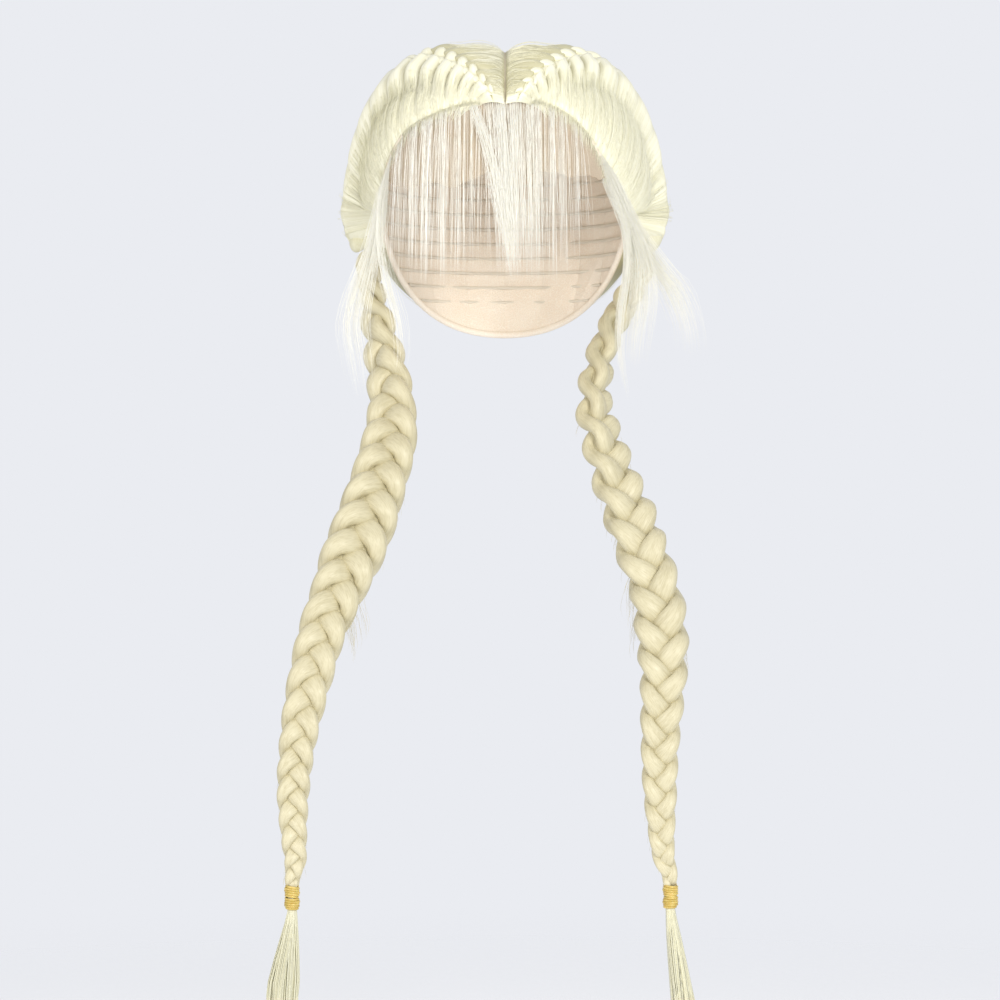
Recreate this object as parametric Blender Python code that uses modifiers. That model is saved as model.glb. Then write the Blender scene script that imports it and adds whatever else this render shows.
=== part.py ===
"""Braid wig: lace-front wig with a centre parting and two crown braids that hang as long plaits.

Sizes are in millimetres and turned to metres by MM where a point is made. The origin is the crown
seat, the highest point inside the cap; the face opening looks along -Y, and left is the -X side.
"""
import math
from collections import namedtuple

import bmesh
import bpy
from mathutils import Vector

MM = 0.001
SIDES = {"left": -1, "right": 1}

# Inside form of the cap: a squarish egg about the centre of the head hollow
HEAD_CENTRE = Vector((0, 8, -88))
HEAD_HALF_BREADTH = 77
HEAD_FRONT = 98
HEAD_BACK = 96
HEAD_TOP = 88
HEAD_BOTTOM = 125
HEAD_SQUARENESS = 2.3

# Net cap and lace front
CAP_WALL = 1.2
CAP_EDGE_STATIONS = 12
CAP_NAPE_STATIONS = 6
CAP_RINGS = 7
LACE_WALL = 1.0
LACE_LIFT = 0.1
LACE_ROWS = 4
LACE_TOP = 0.042

# Scalp hair, which is thin at the parting and the hairline and grooved under the crown braid
HAIR_LIFT = 3.0
HAIR_EDGE_LIFT = 4.0
HAIR_PART_LIFT = 4.0
HAIR_GROOVE_LIFT = 4.6
HAIR_GROOVE_MARGIN = 1.5
HAIR_SHOULDER = 6
HAIR_STATIONS = 22
HAIR_RIB = 1.3
PARTING_GAP = 1.6
GROOVE_SHARE = 1.1
GROOVE_LIMIT = 0.65
SHOULDER_LIMIT = 0.85
# Columns from the shoulder on, as shares of the way to the parting and to the hairline
INNER_STEPS = (0.28, 0.54, 0.78)
OUTER_STEPS = (0.36, 0.72)

# Crown braids, which lie in the groove
CROWN_CLEARANCE = 0.6
CROWN_STATIONS = 2 * HAIR_STATIONS - 1
CROWN_FLOOR_SHARE = 0.92
CROWN_LOBE = 19
CROWN_LOBE_HEIGHT = 0.16
CROWN_LOBE_WIDTH = 0.5
CROWN_LOBE_LEAN = 0.45
CROWN_STEP = 0.004

# Plaits: three strands each. A strand swings by a share of the plait's half width; its depth of
# swing and its section are shares of that swing, and a short pitch slims the section.
STRANDS = 3
STRAND_SIDES = 5
STATIONS_PER_TURN = 12
SWING_SHARE = 0.69
DEPTH_SHARE = 0.60
STRAND_WIDTH_SHARE = 0.455
STRAND_DEPTH_SHARE = 0.36
STRAND_PITCH_SHARE = 0.47
PLAIT_SAMPLES = 600
PLAIT_GAP = 0.7
PLAIT_LEAD = 12
LEAD_TURN = 90

# Elastics and the tails below them
ELASTIC_INNER = 3.6
ELASTIC_OUTER = 4.9
ELASTIC_HEIGHT = 14
ELASTIC_STEPS = 12
ELASTIC_GAP = 0.7
ELASTIC_EDGE = 0.5
ELASTIC_GROOVE = 0.7
TAIL_CORE_RADIUS = 3.2
TAIL_CORE_SIDES = 10
TAIL_CORE_DROP = 0.2
TAIL_CORE_BELOW = 6
TAIL_LOCK_SIDES = 5
TAIL_LOCK_STAGGER = 0.31
TAIL_ROOT_RADIUS = 1.9
TAIL_ROOT_DROP = 1.5
TAIL_TIP_RADIUS = 0.4

# Fringe and temple locks: flat locks that hang from a band along the hairline
BAND_DROP = 0.08
BAND_HEIGHT = 3.2
BAND_LIFT = 1.7
BAND_WALL = 1.3
FRINGE_STATIONS = 12
FRINGE_REACH = 0.34
FRINGE_LIFT = 4.5
FRINGE_HALF_WALL = 0.8
FRINGE_BROW = 14
FRINGE_TIP_HALF_WIDTH = 0.7
BAND_LEAN = 0.3

# The scalp from front to nape, a row every ninth of the crown braid. The parting is an angle round
# the middle plane from the face; the others are azimuth from the face and elevation, in degrees.
ScalpRow = namedtuple("ScalpRow", "parting braid_az braid_el left_az left_el right_az right_el")
SCALP = [
    ScalpRow(31, 4.5, 31.5, 9, 31, 9, 31),
    ScalpRow(44, 16, 41, 20, 29.4, 17, 30),
    ScalpRow(60, 30, 48, 31, 27, 26, 26),
    ScalpRow(80, 48, 53, 45, 23, 34, 19),
    ScalpRow(101, 68, 52, 56, 15, 42, 9),
    ScalpRow(122, 86, 45, 65, 6, 52, 0),
    ScalpRow(144, 99, 31, 73, -5, 66, -8),
    ScalpRow(168, 107, 14, 82, -7, 80, -8),
    ScalpRow(194, 110.5, -4, 90, -7, 90, -7),
    ScalpRow(226, 112, -20, 98, -12, 98, -12),
]

# Crown braid and the hair beside it, at the same rows: half width, height and hair thickness
CrownRow = namedtuple("CrownRow", "half_width height hair")
CROWN = [
    CrownRow(2.4, 7.5, 5.0),
    CrownRow(6.5, 11, 7.0),
    CrownRow(9.0, 12.5, 7.5),
    CrownRow(10.5, 15.5, 8),
    CrownRow(11.5, 18, 9.5),
    CrownRow(12.5, 20, 11.5),
    CrownRow(13.0, 21.5, 13),
    CrownRow(13.5, 23.5, 14),
    CrownRow(13.5, 25.5, 13),
    CrownRow(12.0, 23, 9),
]

# Lower cut edge of the lace, from the left temple to the right, in degrees
LaceRow = namedtuple("LaceRow", "azimuth elevation")
LACE_CUT = [
    LaceRow(-58, 4),
    LaceRow(-52, 0.6),
    LaceRow(-45, 1.8),
    LaceRow(-36, 0.4),
    LaceRow(-27, 1.5),
    LaceRow(-18, -0.4),
    LaceRow(-8, 4.0),
    LaceRow(0, 4.6),
    LaceRow(8, 3.4),
    LaceRow(16, 5.0),
    LaceRow(24, 3.2),
    LaceRow(31, 4.6),
    LaceRow(37, 3.2),
    LaceRow(42, 4.0),
    LaceRow(45, 0.5),
]

# Plaits below the ears. Height, across and forward place the centre line; pitch is the length of
# one lobe; turn is how far the flat side is turned away from the face opening's side, in degrees.
PlaitRow = namedtuple("PlaitRow", "height across forward width pitch turn")
PLAITS = {
    "left": [
        PlaitRow(-150, -83, 46, 26, 23, 78),
        PlaitRow(-180, -77, 36, 27, 23, 48),
        PlaitRow(-213, -71, 15, 29, 23, 18),
        PlaitRow(-238, -71.5, -4, 34, 22, 3),
        PlaitRow(-263, -77.5, -22, 35.5, 21.5, 0),
        PlaitRow(-288, -85, -36, 38, 21, 0),
        PlaitRow(-309, -93, -46, 38, 21, 0),
        PlaitRow(-330, -101, -56, 33, 20.5, 0),
        PlaitRow(-354, -110, -66, 29.5, 20.5, 0),
        PlaitRow(-377, -115.7, -74, 27.5, 20.5, 0),
        PlaitRow(-401, -120.8, -80, 25, 19, 0),
        PlaitRow(-424, -124.3, -84, 22, 16, 0),
        PlaitRow(-448, -126.4, -86, 20, 15, 0),
        PlaitRow(-472, -126, -88, 16.5, 14, 0),
        PlaitRow(-490, -125, -88, 13.5, 12, 0),
        PlaitRow(-498, -126.4, -88, 10, 11, 0),
        PlaitRow(-503, -126.8, -88, 8.5, 11, 0),
    ],
    "right": [
        PlaitRow(-150, 76, 47, 27, 23, 90),
        PlaitRow(-180, 62, 37, 28, 23, 98),
        PlaitRow(-213, 56, 15, 29, 23, 115),
        PlaitRow(-238, 60.7, -2, 30, 23, 132),
        PlaitRow(-263, 68.4, -14, 31, 23, 146),
        PlaitRow(-285, 76.5, -26, 33, 24, 160),
        PlaitRow(-306, 83.3, -40, 33, 24, 173),
        PlaitRow(-324, 89.5, -50, 32.5, 24, 180),
        PlaitRow(-342, 93, -60, 33, 23, 180),
        PlaitRow(-359, 94.2, -68, 33, 22, 180),
        PlaitRow(-377, 94.8, -76, 29.5, 20, 180),
        PlaitRow(-398, 93.6, -82, 26.5, 19, 180),
        PlaitRow(-421, 92.3, -86, 23.5, 18, 180),
        PlaitRow(-445, 92.1, -88, 21, 17, 180),
        PlaitRow(-469, 92.8, -90, 17, 15.5, 180),
        PlaitRow(-487, 94.2, -90, 13.5, 14, 180),
        PlaitRow(-496.5, 97.4, -90, 10, 12, 180),
        PlaitRow(-502, 98, -90, 8.5, 11, 180),
    ],
}

# Locks of each tail: where the lock is widest, how thick it is there, and its tip
TailRow = namedtuple("TailRow", "across forward radius tip_across tip_forward tip_drop")
TAIL_WIDE_DROP = 44
# The neck is above the widest place and the end below it: the share of the lean or of the way back
# from the tip, a drop, and the radius as a share of the widest
BendRow = namedtuple("BendRow", "share drop radius")
TAIL_NECK = BendRow(0.45, 16, 0.85)
TAIL_END = BendRow(0.35, 9, 0.8)
TAIL_ROOT_LEAN = (0.06, 0.3)
TAILS = {
    "left": [
        TailRow(-11.5, 0.5, 3.0, -14, 1, 86),
        TailRow(-7.5, -2.5, 3.4, -10, -3, 95),
        TailRow(-7.0, 3.0, 3.2, -9, 3, 90),
        TailRow(-2.5, -0.5, 3.4, -5, -1, 97),
        TailRow(1.5, 1.0, 2.8, -1, 1, 88),
    ],
    "right": [
        TailRow(1.0, 0.5, 2.4, 3, 1, 84),
        TailRow(3.5, -2.2, 2.9, 7, -3, 94),
        TailRow(3.8, 2.6, 2.8, 8, 3, 90),
        TailRow(7.0, -0.5, 3.0, 12, -1, 97),
        TailRow(9.5, 1.0, 2.4, 16, 1, 86),
    ],
}

# Fringe locks, by the band segment that each hangs from, left to right: half width, drift of the
# tip across, and height of the tip
FringeRow = namedtuple("FringeRow", "half_width drift tip")
FRINGE = {
    1: FringeRow(3.0, 3, -150),
    3: FringeRow(3.2, 3, -138),
    5: FringeRow(3.4, 2, -146),
    7: FringeRow(3.6, 2, -136),
    9: FringeRow(3.4, 5, -128),
    11: FringeRow(3.0, 9, -118),
    13: FringeRow(3.2, 4, -134),
    15: FringeRow(3.4, 1, -138),
    17: FringeRow(3.2, -1, -128),
    19: FringeRow(3.0, 0, -136),
    21: FringeRow(2.8, 2, -122),
}

# Temple locks: the path of each lock below the band, as half width and place
LockRow = namedtuple("LockRow", "half_width across forward height")
TEMPLE_LOCKS = {
    "left": {
        1: [
            LockRow(3.2, -79, -37, -105),
            LockRow(4.0, -84, -37, -129),
            LockRow(4.0, -94, -36, -150),
            LockRow(3.0, -97, -36, -175),
            LockRow(1.0, -95, -36, -211),
        ],
        3: [
            LockRow(3.0, -76.5, -45, -104),
            LockRow(3.6, -79, -48, -132),
            LockRow(3.4, -82, -48, -154),
            LockRow(2.6, -78, -47, -175),
            LockRow(0.9, -68.5, -46, -199),
        ],
    },
    "right": {
        1: [
            LockRow(3.4, 67, -60, -98),
            LockRow(4.4, 75, -54, -122),
            LockRow(4.2, 78, -50, -148),
            LockRow(3.2, 77, -48, -180),
            LockRow(1.0, 75.3, -46, -215),
        ],
        3: [
            LockRow(3.2, 76, -45, -98),
            LockRow(4.0, 87, -36, -120),
            LockRow(3.6, 97, -32, -145),
            LockRow(2.8, 103, -30, -172),
            LockRow(0.9, 107, -30, -202),
        ],
    },
}
TEMPLE_BAND = (0.40, 0.58)
TEMPLE_STATIONS = 5
TEMPLE_HALF_WALL = 0.8


def remove_scene_objects():
    for item in list(bpy.data.objects):
        bpy.data.objects.remove(item, do_unlink=True)


def make_collection(name):
    collection = bpy.data.collections.new(name)
    bpy.context.scene.collection.children.link(collection)
    return collection


def make_material(name, colour, roughness):
    material = bpy.data.materials.new(name)
    material.use_nodes = True
    shader = material.node_tree.nodes["Principled BSDF"]
    shader.inputs["Base Color"].default_value = (*colour, 1)
    shader.inputs["Roughness"].default_value = roughness
    shader.inputs["Metallic"].default_value = 0
    return material


remove_scene_objects()
WIG = make_collection("braid_wig")
SHAPES = make_collection("fused_shapes")
BLOND = (0.86, 0.82, 0.56)


def add_object(name, shape, material, smooth_angle=50, collection=WIG):
    """Turn a bmesh in millimetres into a named object in metres, shaded smooth."""
    bmesh.ops.scale(shape, vec=(MM, MM, MM), verts=shape.verts)
    bmesh.ops.recalc_face_normals(shape, faces=shape.faces)
    mesh = bpy.data.meshes.new(name)
    shape.to_mesh(mesh)
    shape.free()
    mesh.shade_smooth()
    mesh.set_sharp_from_angle(angle=math.radians(smooth_angle))
    mesh.materials.append(material)
    piece = bpy.data.objects.new(name, mesh)
    collection.objects.link(piece)
    return piece


def heading(azimuth, elevation):
    """Unit direction from the head's centre; azimuth 0 is the face and 180 the nape."""
    az, el = math.radians(azimuth), math.radians(elevation)
    return Vector((math.sin(az) * math.cos(el), -math.cos(az) * math.cos(el), math.sin(el)))


def head_normal(direction):
    """The head form's outward normal, and its reach from the centre, along a direction."""
    radii = (
        HEAD_HALF_BREADTH,
        HEAD_FRONT if direction.y < 0 else HEAD_BACK,
        HEAD_TOP if direction.z > 0 else HEAD_BOTTOM,
    )
    shares = [part / radius for part, radius in zip(direction, radii)]
    reach = sum(abs(share) ** HEAD_SQUARENESS for share in shares) ** (-1 / HEAD_SQUARENESS)
    normal = Vector([
        math.copysign(abs(share) ** (HEAD_SQUARENESS - 1) / radius, share)
        for share, radius in zip(shares, radii)
    ])
    return normal.normalized(), reach


def on_head(direction, lift):
    """Point that stands a lift above the head form in a direction from its centre."""
    normal, reach = head_normal(direction)
    return HEAD_CENTRE + direction * reach + normal * lift


def between(start, end, share):
    """Direction part of the way from one direction to another."""
    return start.lerp(end, share).normalized()


def smooth_row(rows, place):
    """Row of a table at a place from 0 to 1, on a smooth curve through the rows."""
    spot = min(max(place, 0), 1) * (len(rows) - 1)
    index = min(int(spot), len(rows) - 2)
    share = spot - index
    before, start = rows[max(index - 1, 0)], rows[index]
    end, after = rows[index + 1], rows[min(index + 2, len(rows) - 1)]
    values = []
    for a, b, c, d in zip(before, start, end, after):
        cubic = (3 * b - a - 3 * c + d) * share ** 3
        square = (2 * a - 5 * b + 4 * c - d) * share ** 2
        values.append((cubic + square + (c - a) * share) / 2 + b)
    return type(start)(*values)


def parting_heading(place):
    return heading(0, smooth_row(SCALP, place).parting)


def braid_heading(place):
    row = smooth_row(SCALP, place)
    return heading(row.braid_az, row.braid_el)


def edge_heading(place, side):
    """Direction to the hairline or the edge round the ear, mirrored to +X on both sides."""
    row = smooth_row(SCALP, place)
    if side < 0:
        return heading(row.left_az, row.left_el)
    return heading(row.right_az, row.right_el)


def mirrored(point, side):
    return Vector((point.x * side, point.y, point.z))


def add_grid(shape, grid, closed=False):
    """Quads over a grid of vertices; closed joins each row's end to its start."""
    for row, following in zip(grid, grid[1:]):
        count = len(row) if closed else len(row) - 1
        for index in range(count):
            onward = (index + 1) % len(row)
            shape.faces.new((row[index], row[onward], following[onward], following[index]))


def slab(outer, inner):
    """Closed body between an outer and an inner grid of points of the same shape."""
    shape = bmesh.new()
    top = [[shape.verts.new(point) for point in row] for row in outer]
    bottom = [[shape.verts.new(point) for point in row] for row in inner]
    add_grid(shape, top)
    add_grid(shape, bottom)
    rims = [
        (top[0], bottom[0]),
        (top[-1], bottom[-1]),
        ([row[0] for row in top], [row[0] for row in bottom]),
        ([row[-1] for row in top], [row[-1] for row in bottom]),
    ]
    for over, under in rims:
        add_grid(shape, [over, under])
    return shape


def loft(sections):
    """Closed body through a row of closed sections with as many points each."""
    shape = bmesh.new()
    rings = [[shape.verts.new(point) for point in section] for section in sections]
    add_grid(shape, rings, closed=True)
    shape.faces.new(rings[0])
    shape.faces.new(rings[-1])
    bmesh.ops.triangulate(shape, faces=[face for face in shape.faces if len(face.verts) > 4])
    return shape


def add_solidify(piece, wall):
    """Give an open surface a wall on its outer side."""
    solidify = piece.modifiers.new("wall", "SOLIDIFY")
    solidify.thickness = wall * MM
    solidify.offset = 1
    solidify.use_even_offset = True


def cap_rim():
    """Directions round the cap's edge: front middle, right side, nape, and back up the left."""
    rim = [parting_heading(0)]
    for side in (1, -1):
        edge = [edge_heading(step / CAP_EDGE_STATIONS, side) for step in range(CAP_EDGE_STATIONS + 1)]
        nape = [parting_heading(1), braid_heading(1), edge_heading(1, side)]
        lower = [between(nape[2], nape[1], 0.5), nape[1]]
        for step in range(1, CAP_NAPE_STATIONS - 1):
            lower.append(between(nape[1], nape[0], step / (CAP_NAPE_STATIONS - 1)))
        half = [mirrored(direction, side) for direction in edge + lower]
        rim += half + [nape[0]] if side > 0 else half[::-1]
    return rim


def build_net_cap(material):
    """Stretch net cap: an open dome from the crown to the hairline, ear and nape edge."""
    shape = bmesh.new()
    crown = heading(0, 90)
    top = shape.verts.new(on_head(crown, 0))
    rings = []
    for ring in range(1, CAP_RINGS + 1):
        share = ring / CAP_RINGS
        row = []
        for rim in cap_rim():
            angle = crown.angle(rim) * share
            axis = crown.cross(rim).normalized()
            across = axis.cross(crown)
            row.append(shape.verts.new(on_head(crown * math.cos(angle) + across * math.sin(angle), 0)))
        rings.append(row)
    for index, vertex in enumerate(rings[0]):
        shape.faces.new((top, vertex, rings[0][(index + 1) % len(rings[0])]))
    add_grid(shape, rings, closed=True)
    add_solidify(add_object("net_cap", shape, material), CAP_WALL)


def front_line(reach, stations):
    """Hairline directions from the left side across the front to the right."""
    left = [mirrored(edge_heading(reach * step / stations, -1), -1) for step in range(stations, -1, -1)]
    right = [edge_heading(reach * step / stations, 1) for step in range(stations + 1)]
    return left + [parting_heading(0)] + right


def build_lace_front(material):
    """Sheer lace over the forehead, from the cap's front edge to a rough cut."""
    stations = (len(LACE_CUT) - 3) // 2
    hairline = front_line(stations / CAP_EDGE_STATIONS, stations)
    shape = bmesh.new()
    rows = []
    for step in range(LACE_ROWS + 1):
        share = LACE_TOP + (1 - LACE_TOP) * step / LACE_ROWS
        row = []
        for start, cut in zip(hairline, LACE_CUT):
            direction = between(start, heading(cut.azimuth, cut.elevation), share)
            row.append(shape.verts.new(on_head(direction, LACE_LIFT)))
        rows.append(row)
    add_grid(shape, rows)
    add_solidify(add_object("lace_front", shape, material), LACE_WALL)


def across_places(row, inner_reach, outer_reach):
    """Columns of the scalp hair from the parting, -1, through the braid, 0, to the hairline, 1."""
    places = []
    for sign, reach, steps in ((-1, inner_reach, INNER_STEPS), (1, outer_reach, OUTER_STEPS)):
        groove = min(GROOVE_SHARE * row.half_width + HAIR_GROOVE_MARGIN, GROOVE_LIMIT * reach)
        shoulder = min(groove + HAIR_SHOULDER, SHOULDER_LIMIT * reach) / reach
        groove /= reach
        rest = 1 - shoulder
        half = [groove, shoulder] + [shoulder + step * rest for step in steps] + [1]
        places.append([sign * share for share in half])
    return places[0][::-1] + [0] + places[1]


# Lift of the scalp hair at those columns: the share of full thickness, and the share of the ribs
ColumnRow = namedtuple("ColumnRow", "fullness rib")
HAIR_COLUMNS = [
    ColumnRow(0, 0),
    ColumnRow(0.6, 0.5),
    ColumnRow(0.9, 1),
    ColumnRow(1, 1),
    ColumnRow(1, 1),
    ColumnRow(0, 0),
    ColumnRow(0, 0),
    ColumnRow(0, 0),
    ColumnRow(1, 1),
    ColumnRow(0.95, 1),
    ColumnRow(0.7, 0.6),
    ColumnRow(0, 0),
]


def hair_floor(column):
    """Thin lift of the scalp hair at the parting, in the groove and at the hairline."""
    if column == 0:
        return HAIR_PART_LIFT
    if column == len(HAIR_COLUMNS) - 1:
        return HAIR_EDGE_LIFT
    return HAIR_GROOVE_LIFT


def build_scalp_hair(name, side, material):
    """Half of the scalp hair, combed in ribs from the parting and the hairline to the braid."""
    outer, inner = [], []
    for station in range(HAIR_STATIONS):
        place = station / (HAIR_STATIONS - 1)
        row = smooth_row(CROWN, place)
        middle = braid_heading(place)
        parting, edge = parting_heading(place), edge_heading(place, side)
        centre = on_head(middle, 0)
        reach = [(on_head(end, 0) - centre).length for end in (parting, edge)]
        rib = HAIR_RIB * (1 if station % 2 else -1) * min(1, 4 * place)
        over, under = [], []
        for column, share in enumerate(across_places(row, *reach)):
            direction = between(middle, parting if share < 0 else edge, abs(share))
            ends = HAIR_COLUMNS[column]
            floor = hair_floor(column)
            lift = floor + (row.hair - floor) * ends.fullness + rib * ends.rib
            gap = Vector((PARTING_GAP / 2 * max(0, -share), 0, 0))
            over.append(mirrored(on_head(direction, lift) + gap, side))
            under.append(mirrored(on_head(direction, HAIR_LIFT) + gap, side))
        outer.append(over)
        inner.append(under)
    add_object(name, slab(outer, inner), material)


# Section of the crown braid from one edge over the top to the other: across as a share of the
# half width, and height as a share of the full height
SectionRow = namedtuple("SectionRow", "across height")
CROWN_TOP = [
    SectionRow(-1.0, 0.30),
    SectionRow(-0.72, 0.80),
    SectionRow(0, 0.94),
    SectionRow(0.72, 0.80),
    SectionRow(1.0, 0.30),
]


def crown_frame(place, side):
    """Centre, outward normal, across direction and onward direction of the crown braid."""
    direction = braid_heading(place)
    ahead = on_head(braid_heading(min(place + CROWN_STEP, 1)), 0)
    behind = on_head(braid_heading(max(place - CROWN_STEP, 0)), 0)
    normal, _ = head_normal(direction)
    onward = ahead - behind
    onward = (onward - normal * onward.dot(normal)).normalized()
    across = normal.cross(onward)
    frame = [on_head(direction, 0), normal, across, onward]
    return [mirrored(vector, side) for vector in frame]


def build_crown_braid(name, side, material):
    """Braid laid along the crown in the groove: lobes that lean inwards along its length."""
    sections = []
    travelled = 0
    last = None
    for station in range(CROWN_STATIONS):
        place = station / (CROWN_STATIONS - 1)
        row = smooth_row(CROWN, place)
        centre, normal, across, _ = crown_frame(place, side)
        travelled += (centre - last).length if last else 0
        last = centre
        floor = HAIR_GROOVE_LIFT + CROWN_CLEARANCE
        section = []
        for share in (1, 0, -1):
            wide = row.half_width * share * CROWN_FLOOR_SHARE
            section.append(centre + across * wide + normal * floor)
        for point in CROWN_TOP:
            beat = travelled / CROWN_LOBE + CROWN_LOBE_LEAN * abs(point.across)
            beat += 0.5 if point.across > 0 else 0
            swell = CROWN_LOBE_HEIGHT * math.sin(2 * math.pi * beat) * abs(point.across) ** 0.5
            wide = row.half_width * point.across * (1 + CROWN_LOBE_WIDTH * swell)
            lift = floor + (row.height - floor) * point.height * (1 + swell)
            section.append(centre + across * wide + normal * lift)
        sections.append(section)
    add_object(name, loft(sections), material, smooth_angle=70)


PlaitPoint = namedtuple("PlaitPoint", "place swing size onward across front phase")


def plait_line(side_name):
    """Closely spaced points down a plait's centre line, with its frame and its phase."""
    side = SIDES[side_name]
    centre, normal, _, onward = crown_frame(1, side)
    crown_end = smooth_row(CROWN, 1)
    start = centre + normal * (HAIR_GROOVE_LIFT + crown_end.height) / 2 + onward * PLAIT_GAP
    second = start + onward * PLAIT_LEAD
    table = PLAITS[side_name]
    lead = [
        PlaitRow(point.z, point.x, point.y, 2 * crown_end.half_width, table[0].pitch, LEAD_TURN)
        for point in (start, second)
    ]
    rows = lead + table
    samples = [smooth_row(rows, step / PLAIT_SAMPLES) for step in range(PLAIT_SAMPLES + 1)]
    places = [Vector((row.across, row.forward, row.height)) for row in samples]
    points = []
    phase = 0
    for index, (row, place) in enumerate(zip(samples, places)):
        tangent = (places[min(index + 1, PLAIT_SAMPLES)] - places[max(index - 1, 0)]).normalized()
        if index:
            phase += 2 * math.pi / STRANDS * (place - places[index - 1]).length / row.pitch
        front = Vector((0, -1, 0))
        front = (front - tangent * front.dot(tangent)).normalized()
        across = front.cross(tangent)
        turn = math.radians(row.turn)
        turned_across = across * math.cos(turn) + front * math.sin(turn)
        turned_front = front * math.cos(turn) - across * math.sin(turn)
        swing = SWING_SHARE * row.width / 2
        size = min(swing, STRAND_PITCH_SHARE * row.pitch)
        points.append(PlaitPoint(place, swing, size, tangent, turned_across, turned_front, phase))
    return points


def build_plait(side_name, material):
    """Three strands plaited over each other, each a body of its own."""
    line = plait_line(side_name)
    turns = line[-1].phase / (2 * math.pi)
    stations = round(turns * STATIONS_PER_TURN)
    picked = []
    for station in range(stations + 1):
        wanted = line[-1].phase * station / stations
        picked.append(min(line, key=lambda point: abs(point.phase - wanted)))
    for strand in range(STRANDS):
        centres = []
        for point in picked:
            beat = point.phase + 2 * math.pi * strand / STRANDS
            centre = point.place + point.across * point.swing * math.sin(beat)
            centres.append(centre + point.front * point.swing * DEPTH_SHARE * math.sin(2 * beat))
        sections = []
        for index, (point, centre) in enumerate(zip(picked, centres)):
            onward = point.onward
            if 0 < index < stations:
                onward = (centres[index + 1] - centres[index - 1]).normalized()
            front = (point.front - onward * point.front.dot(onward)).normalized()
            across = front.cross(onward)
            section = []
            for corner in range(STRAND_SIDES):
                angle = 2 * math.pi * corner / STRAND_SIDES
                reach = across * point.size * STRAND_WIDTH_SHARE * math.cos(angle)
                rise = front * point.size * STRAND_DEPTH_SHARE * math.sin(angle)
                section.append(centre + reach + rise)
            sections.append(section)
        add_object(f"{side_name}_braid_strand_{strand + 1}", loft(sections), material, smooth_angle=80)
    return line[-1].place


# Section of the elastic: two groups of turns with a groove between them. The drop is a share of
# its height.
ProfileRow = namedtuple("ProfileRow", "radius drop")
ELASTIC_PROFILE = [
    ProfileRow(ELASTIC_INNER, 0),
    ProfileRow(ELASTIC_OUTER - ELASTIC_EDGE, 0),
    ProfileRow(ELASTIC_OUTER, -0.12),
    ProfileRow(ELASTIC_OUTER, -0.38),
    ProfileRow(ELASTIC_OUTER - ELASTIC_GROOVE, -0.48),
    ProfileRow(ELASTIC_OUTER - ELASTIC_GROOVE, -0.55),
    ProfileRow(ELASTIC_OUTER, -0.65),
    ProfileRow(ELASTIC_OUTER, -0.9),
    ProfileRow(ELASTIC_OUTER - ELASTIC_EDGE, -1),
    ProfileRow(ELASTIC_INNER, -1),
]


def build_elastic(name, top, material):
    """Rubber elastic wound in two groups, a turned ring round the plait's end."""
    shape = bmesh.new()
    corners = [shape.verts.new((point.radius, 0, point.drop * ELASTIC_HEIGHT)) for point in ELASTIC_PROFILE]
    for index, corner in enumerate(corners):
        shape.edges.new((corner, corners[(index + 1) % len(corners)]))
    piece = add_object(name, shape, material)
    piece.location = (top + Vector((0, 0, -ELASTIC_GAP))) * MM
    screw = piece.modifiers.new("turn", "SCREW")
    screw.steps = ELASTIC_STEPS
    screw.render_steps = ELASTIC_STEPS
    screw.use_merge_vertices = True
    screw.merge_threshold = 0.00001


def build_tail(name, top, rows, material):
    """Loose tail below the elastic: locks fused to the core that the elastic holds."""
    start = top - Vector((0, 0, ELASTIC_GAP + TAIL_CORE_DROP))
    core_height = ELASTIC_HEIGHT + TAIL_CORE_BELOW
    core = bmesh.new()
    bmesh.ops.create_cone(
        core, cap_ends=True, segments=TAIL_CORE_SIDES, depth=core_height,
        radius1=TAIL_CORE_RADIUS, radius2=TAIL_CORE_RADIUS,
    )
    bmesh.ops.translate(core, vec=start - Vector((0, 0, core_height / 2)), verts=core.verts)
    piece = add_object(name, core, material)
    foot = start - Vector((0, 0, ELASTIC_HEIGHT))
    for number, row in enumerate(rows):
        lean = Vector((row.across, row.forward, 0))
        widest = foot + lean - Vector((0, 0, TAIL_WIDE_DROP))
        tip = foot + Vector((row.tip_across, row.tip_forward, -row.tip_drop))
        root = foot + Vector((lean.x * TAIL_ROOT_LEAN[0], lean.y * TAIL_ROOT_LEAN[1], -TAIL_ROOT_DROP))
        path = [
            (root, TAIL_ROOT_RADIUS),
            (foot + lean * TAIL_NECK.share - Vector((0, 0, TAIL_NECK.drop)), row.radius * TAIL_NECK.radius),
            (widest, row.radius),
            (tip.lerp(widest, TAIL_END.share) - Vector((0, 0, TAIL_END.drop)), row.radius * TAIL_END.radius),
            (tip, TAIL_TIP_RADIUS),
        ]
        sections = []
        for place, radius in path:
            ring = []
            for corner in range(TAIL_LOCK_SIDES):
                angle = 2 * math.pi * (corner + TAIL_LOCK_STAGGER * number) / TAIL_LOCK_SIDES
                ring.append(place + Vector((math.cos(angle), math.sin(angle), 0)) * radius)
            sections.append(ring)
        lock = add_object(f"{name}_lock_{number + 1}", loft(sections), material, collection=SHAPES)
        lock.hide_render = True
        lock.display_type = "WIRE"
        join = piece.modifiers.new(f"lock {number + 1}", "BOOLEAN")
        join.operation = "UNION"
        join.object = lock


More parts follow.
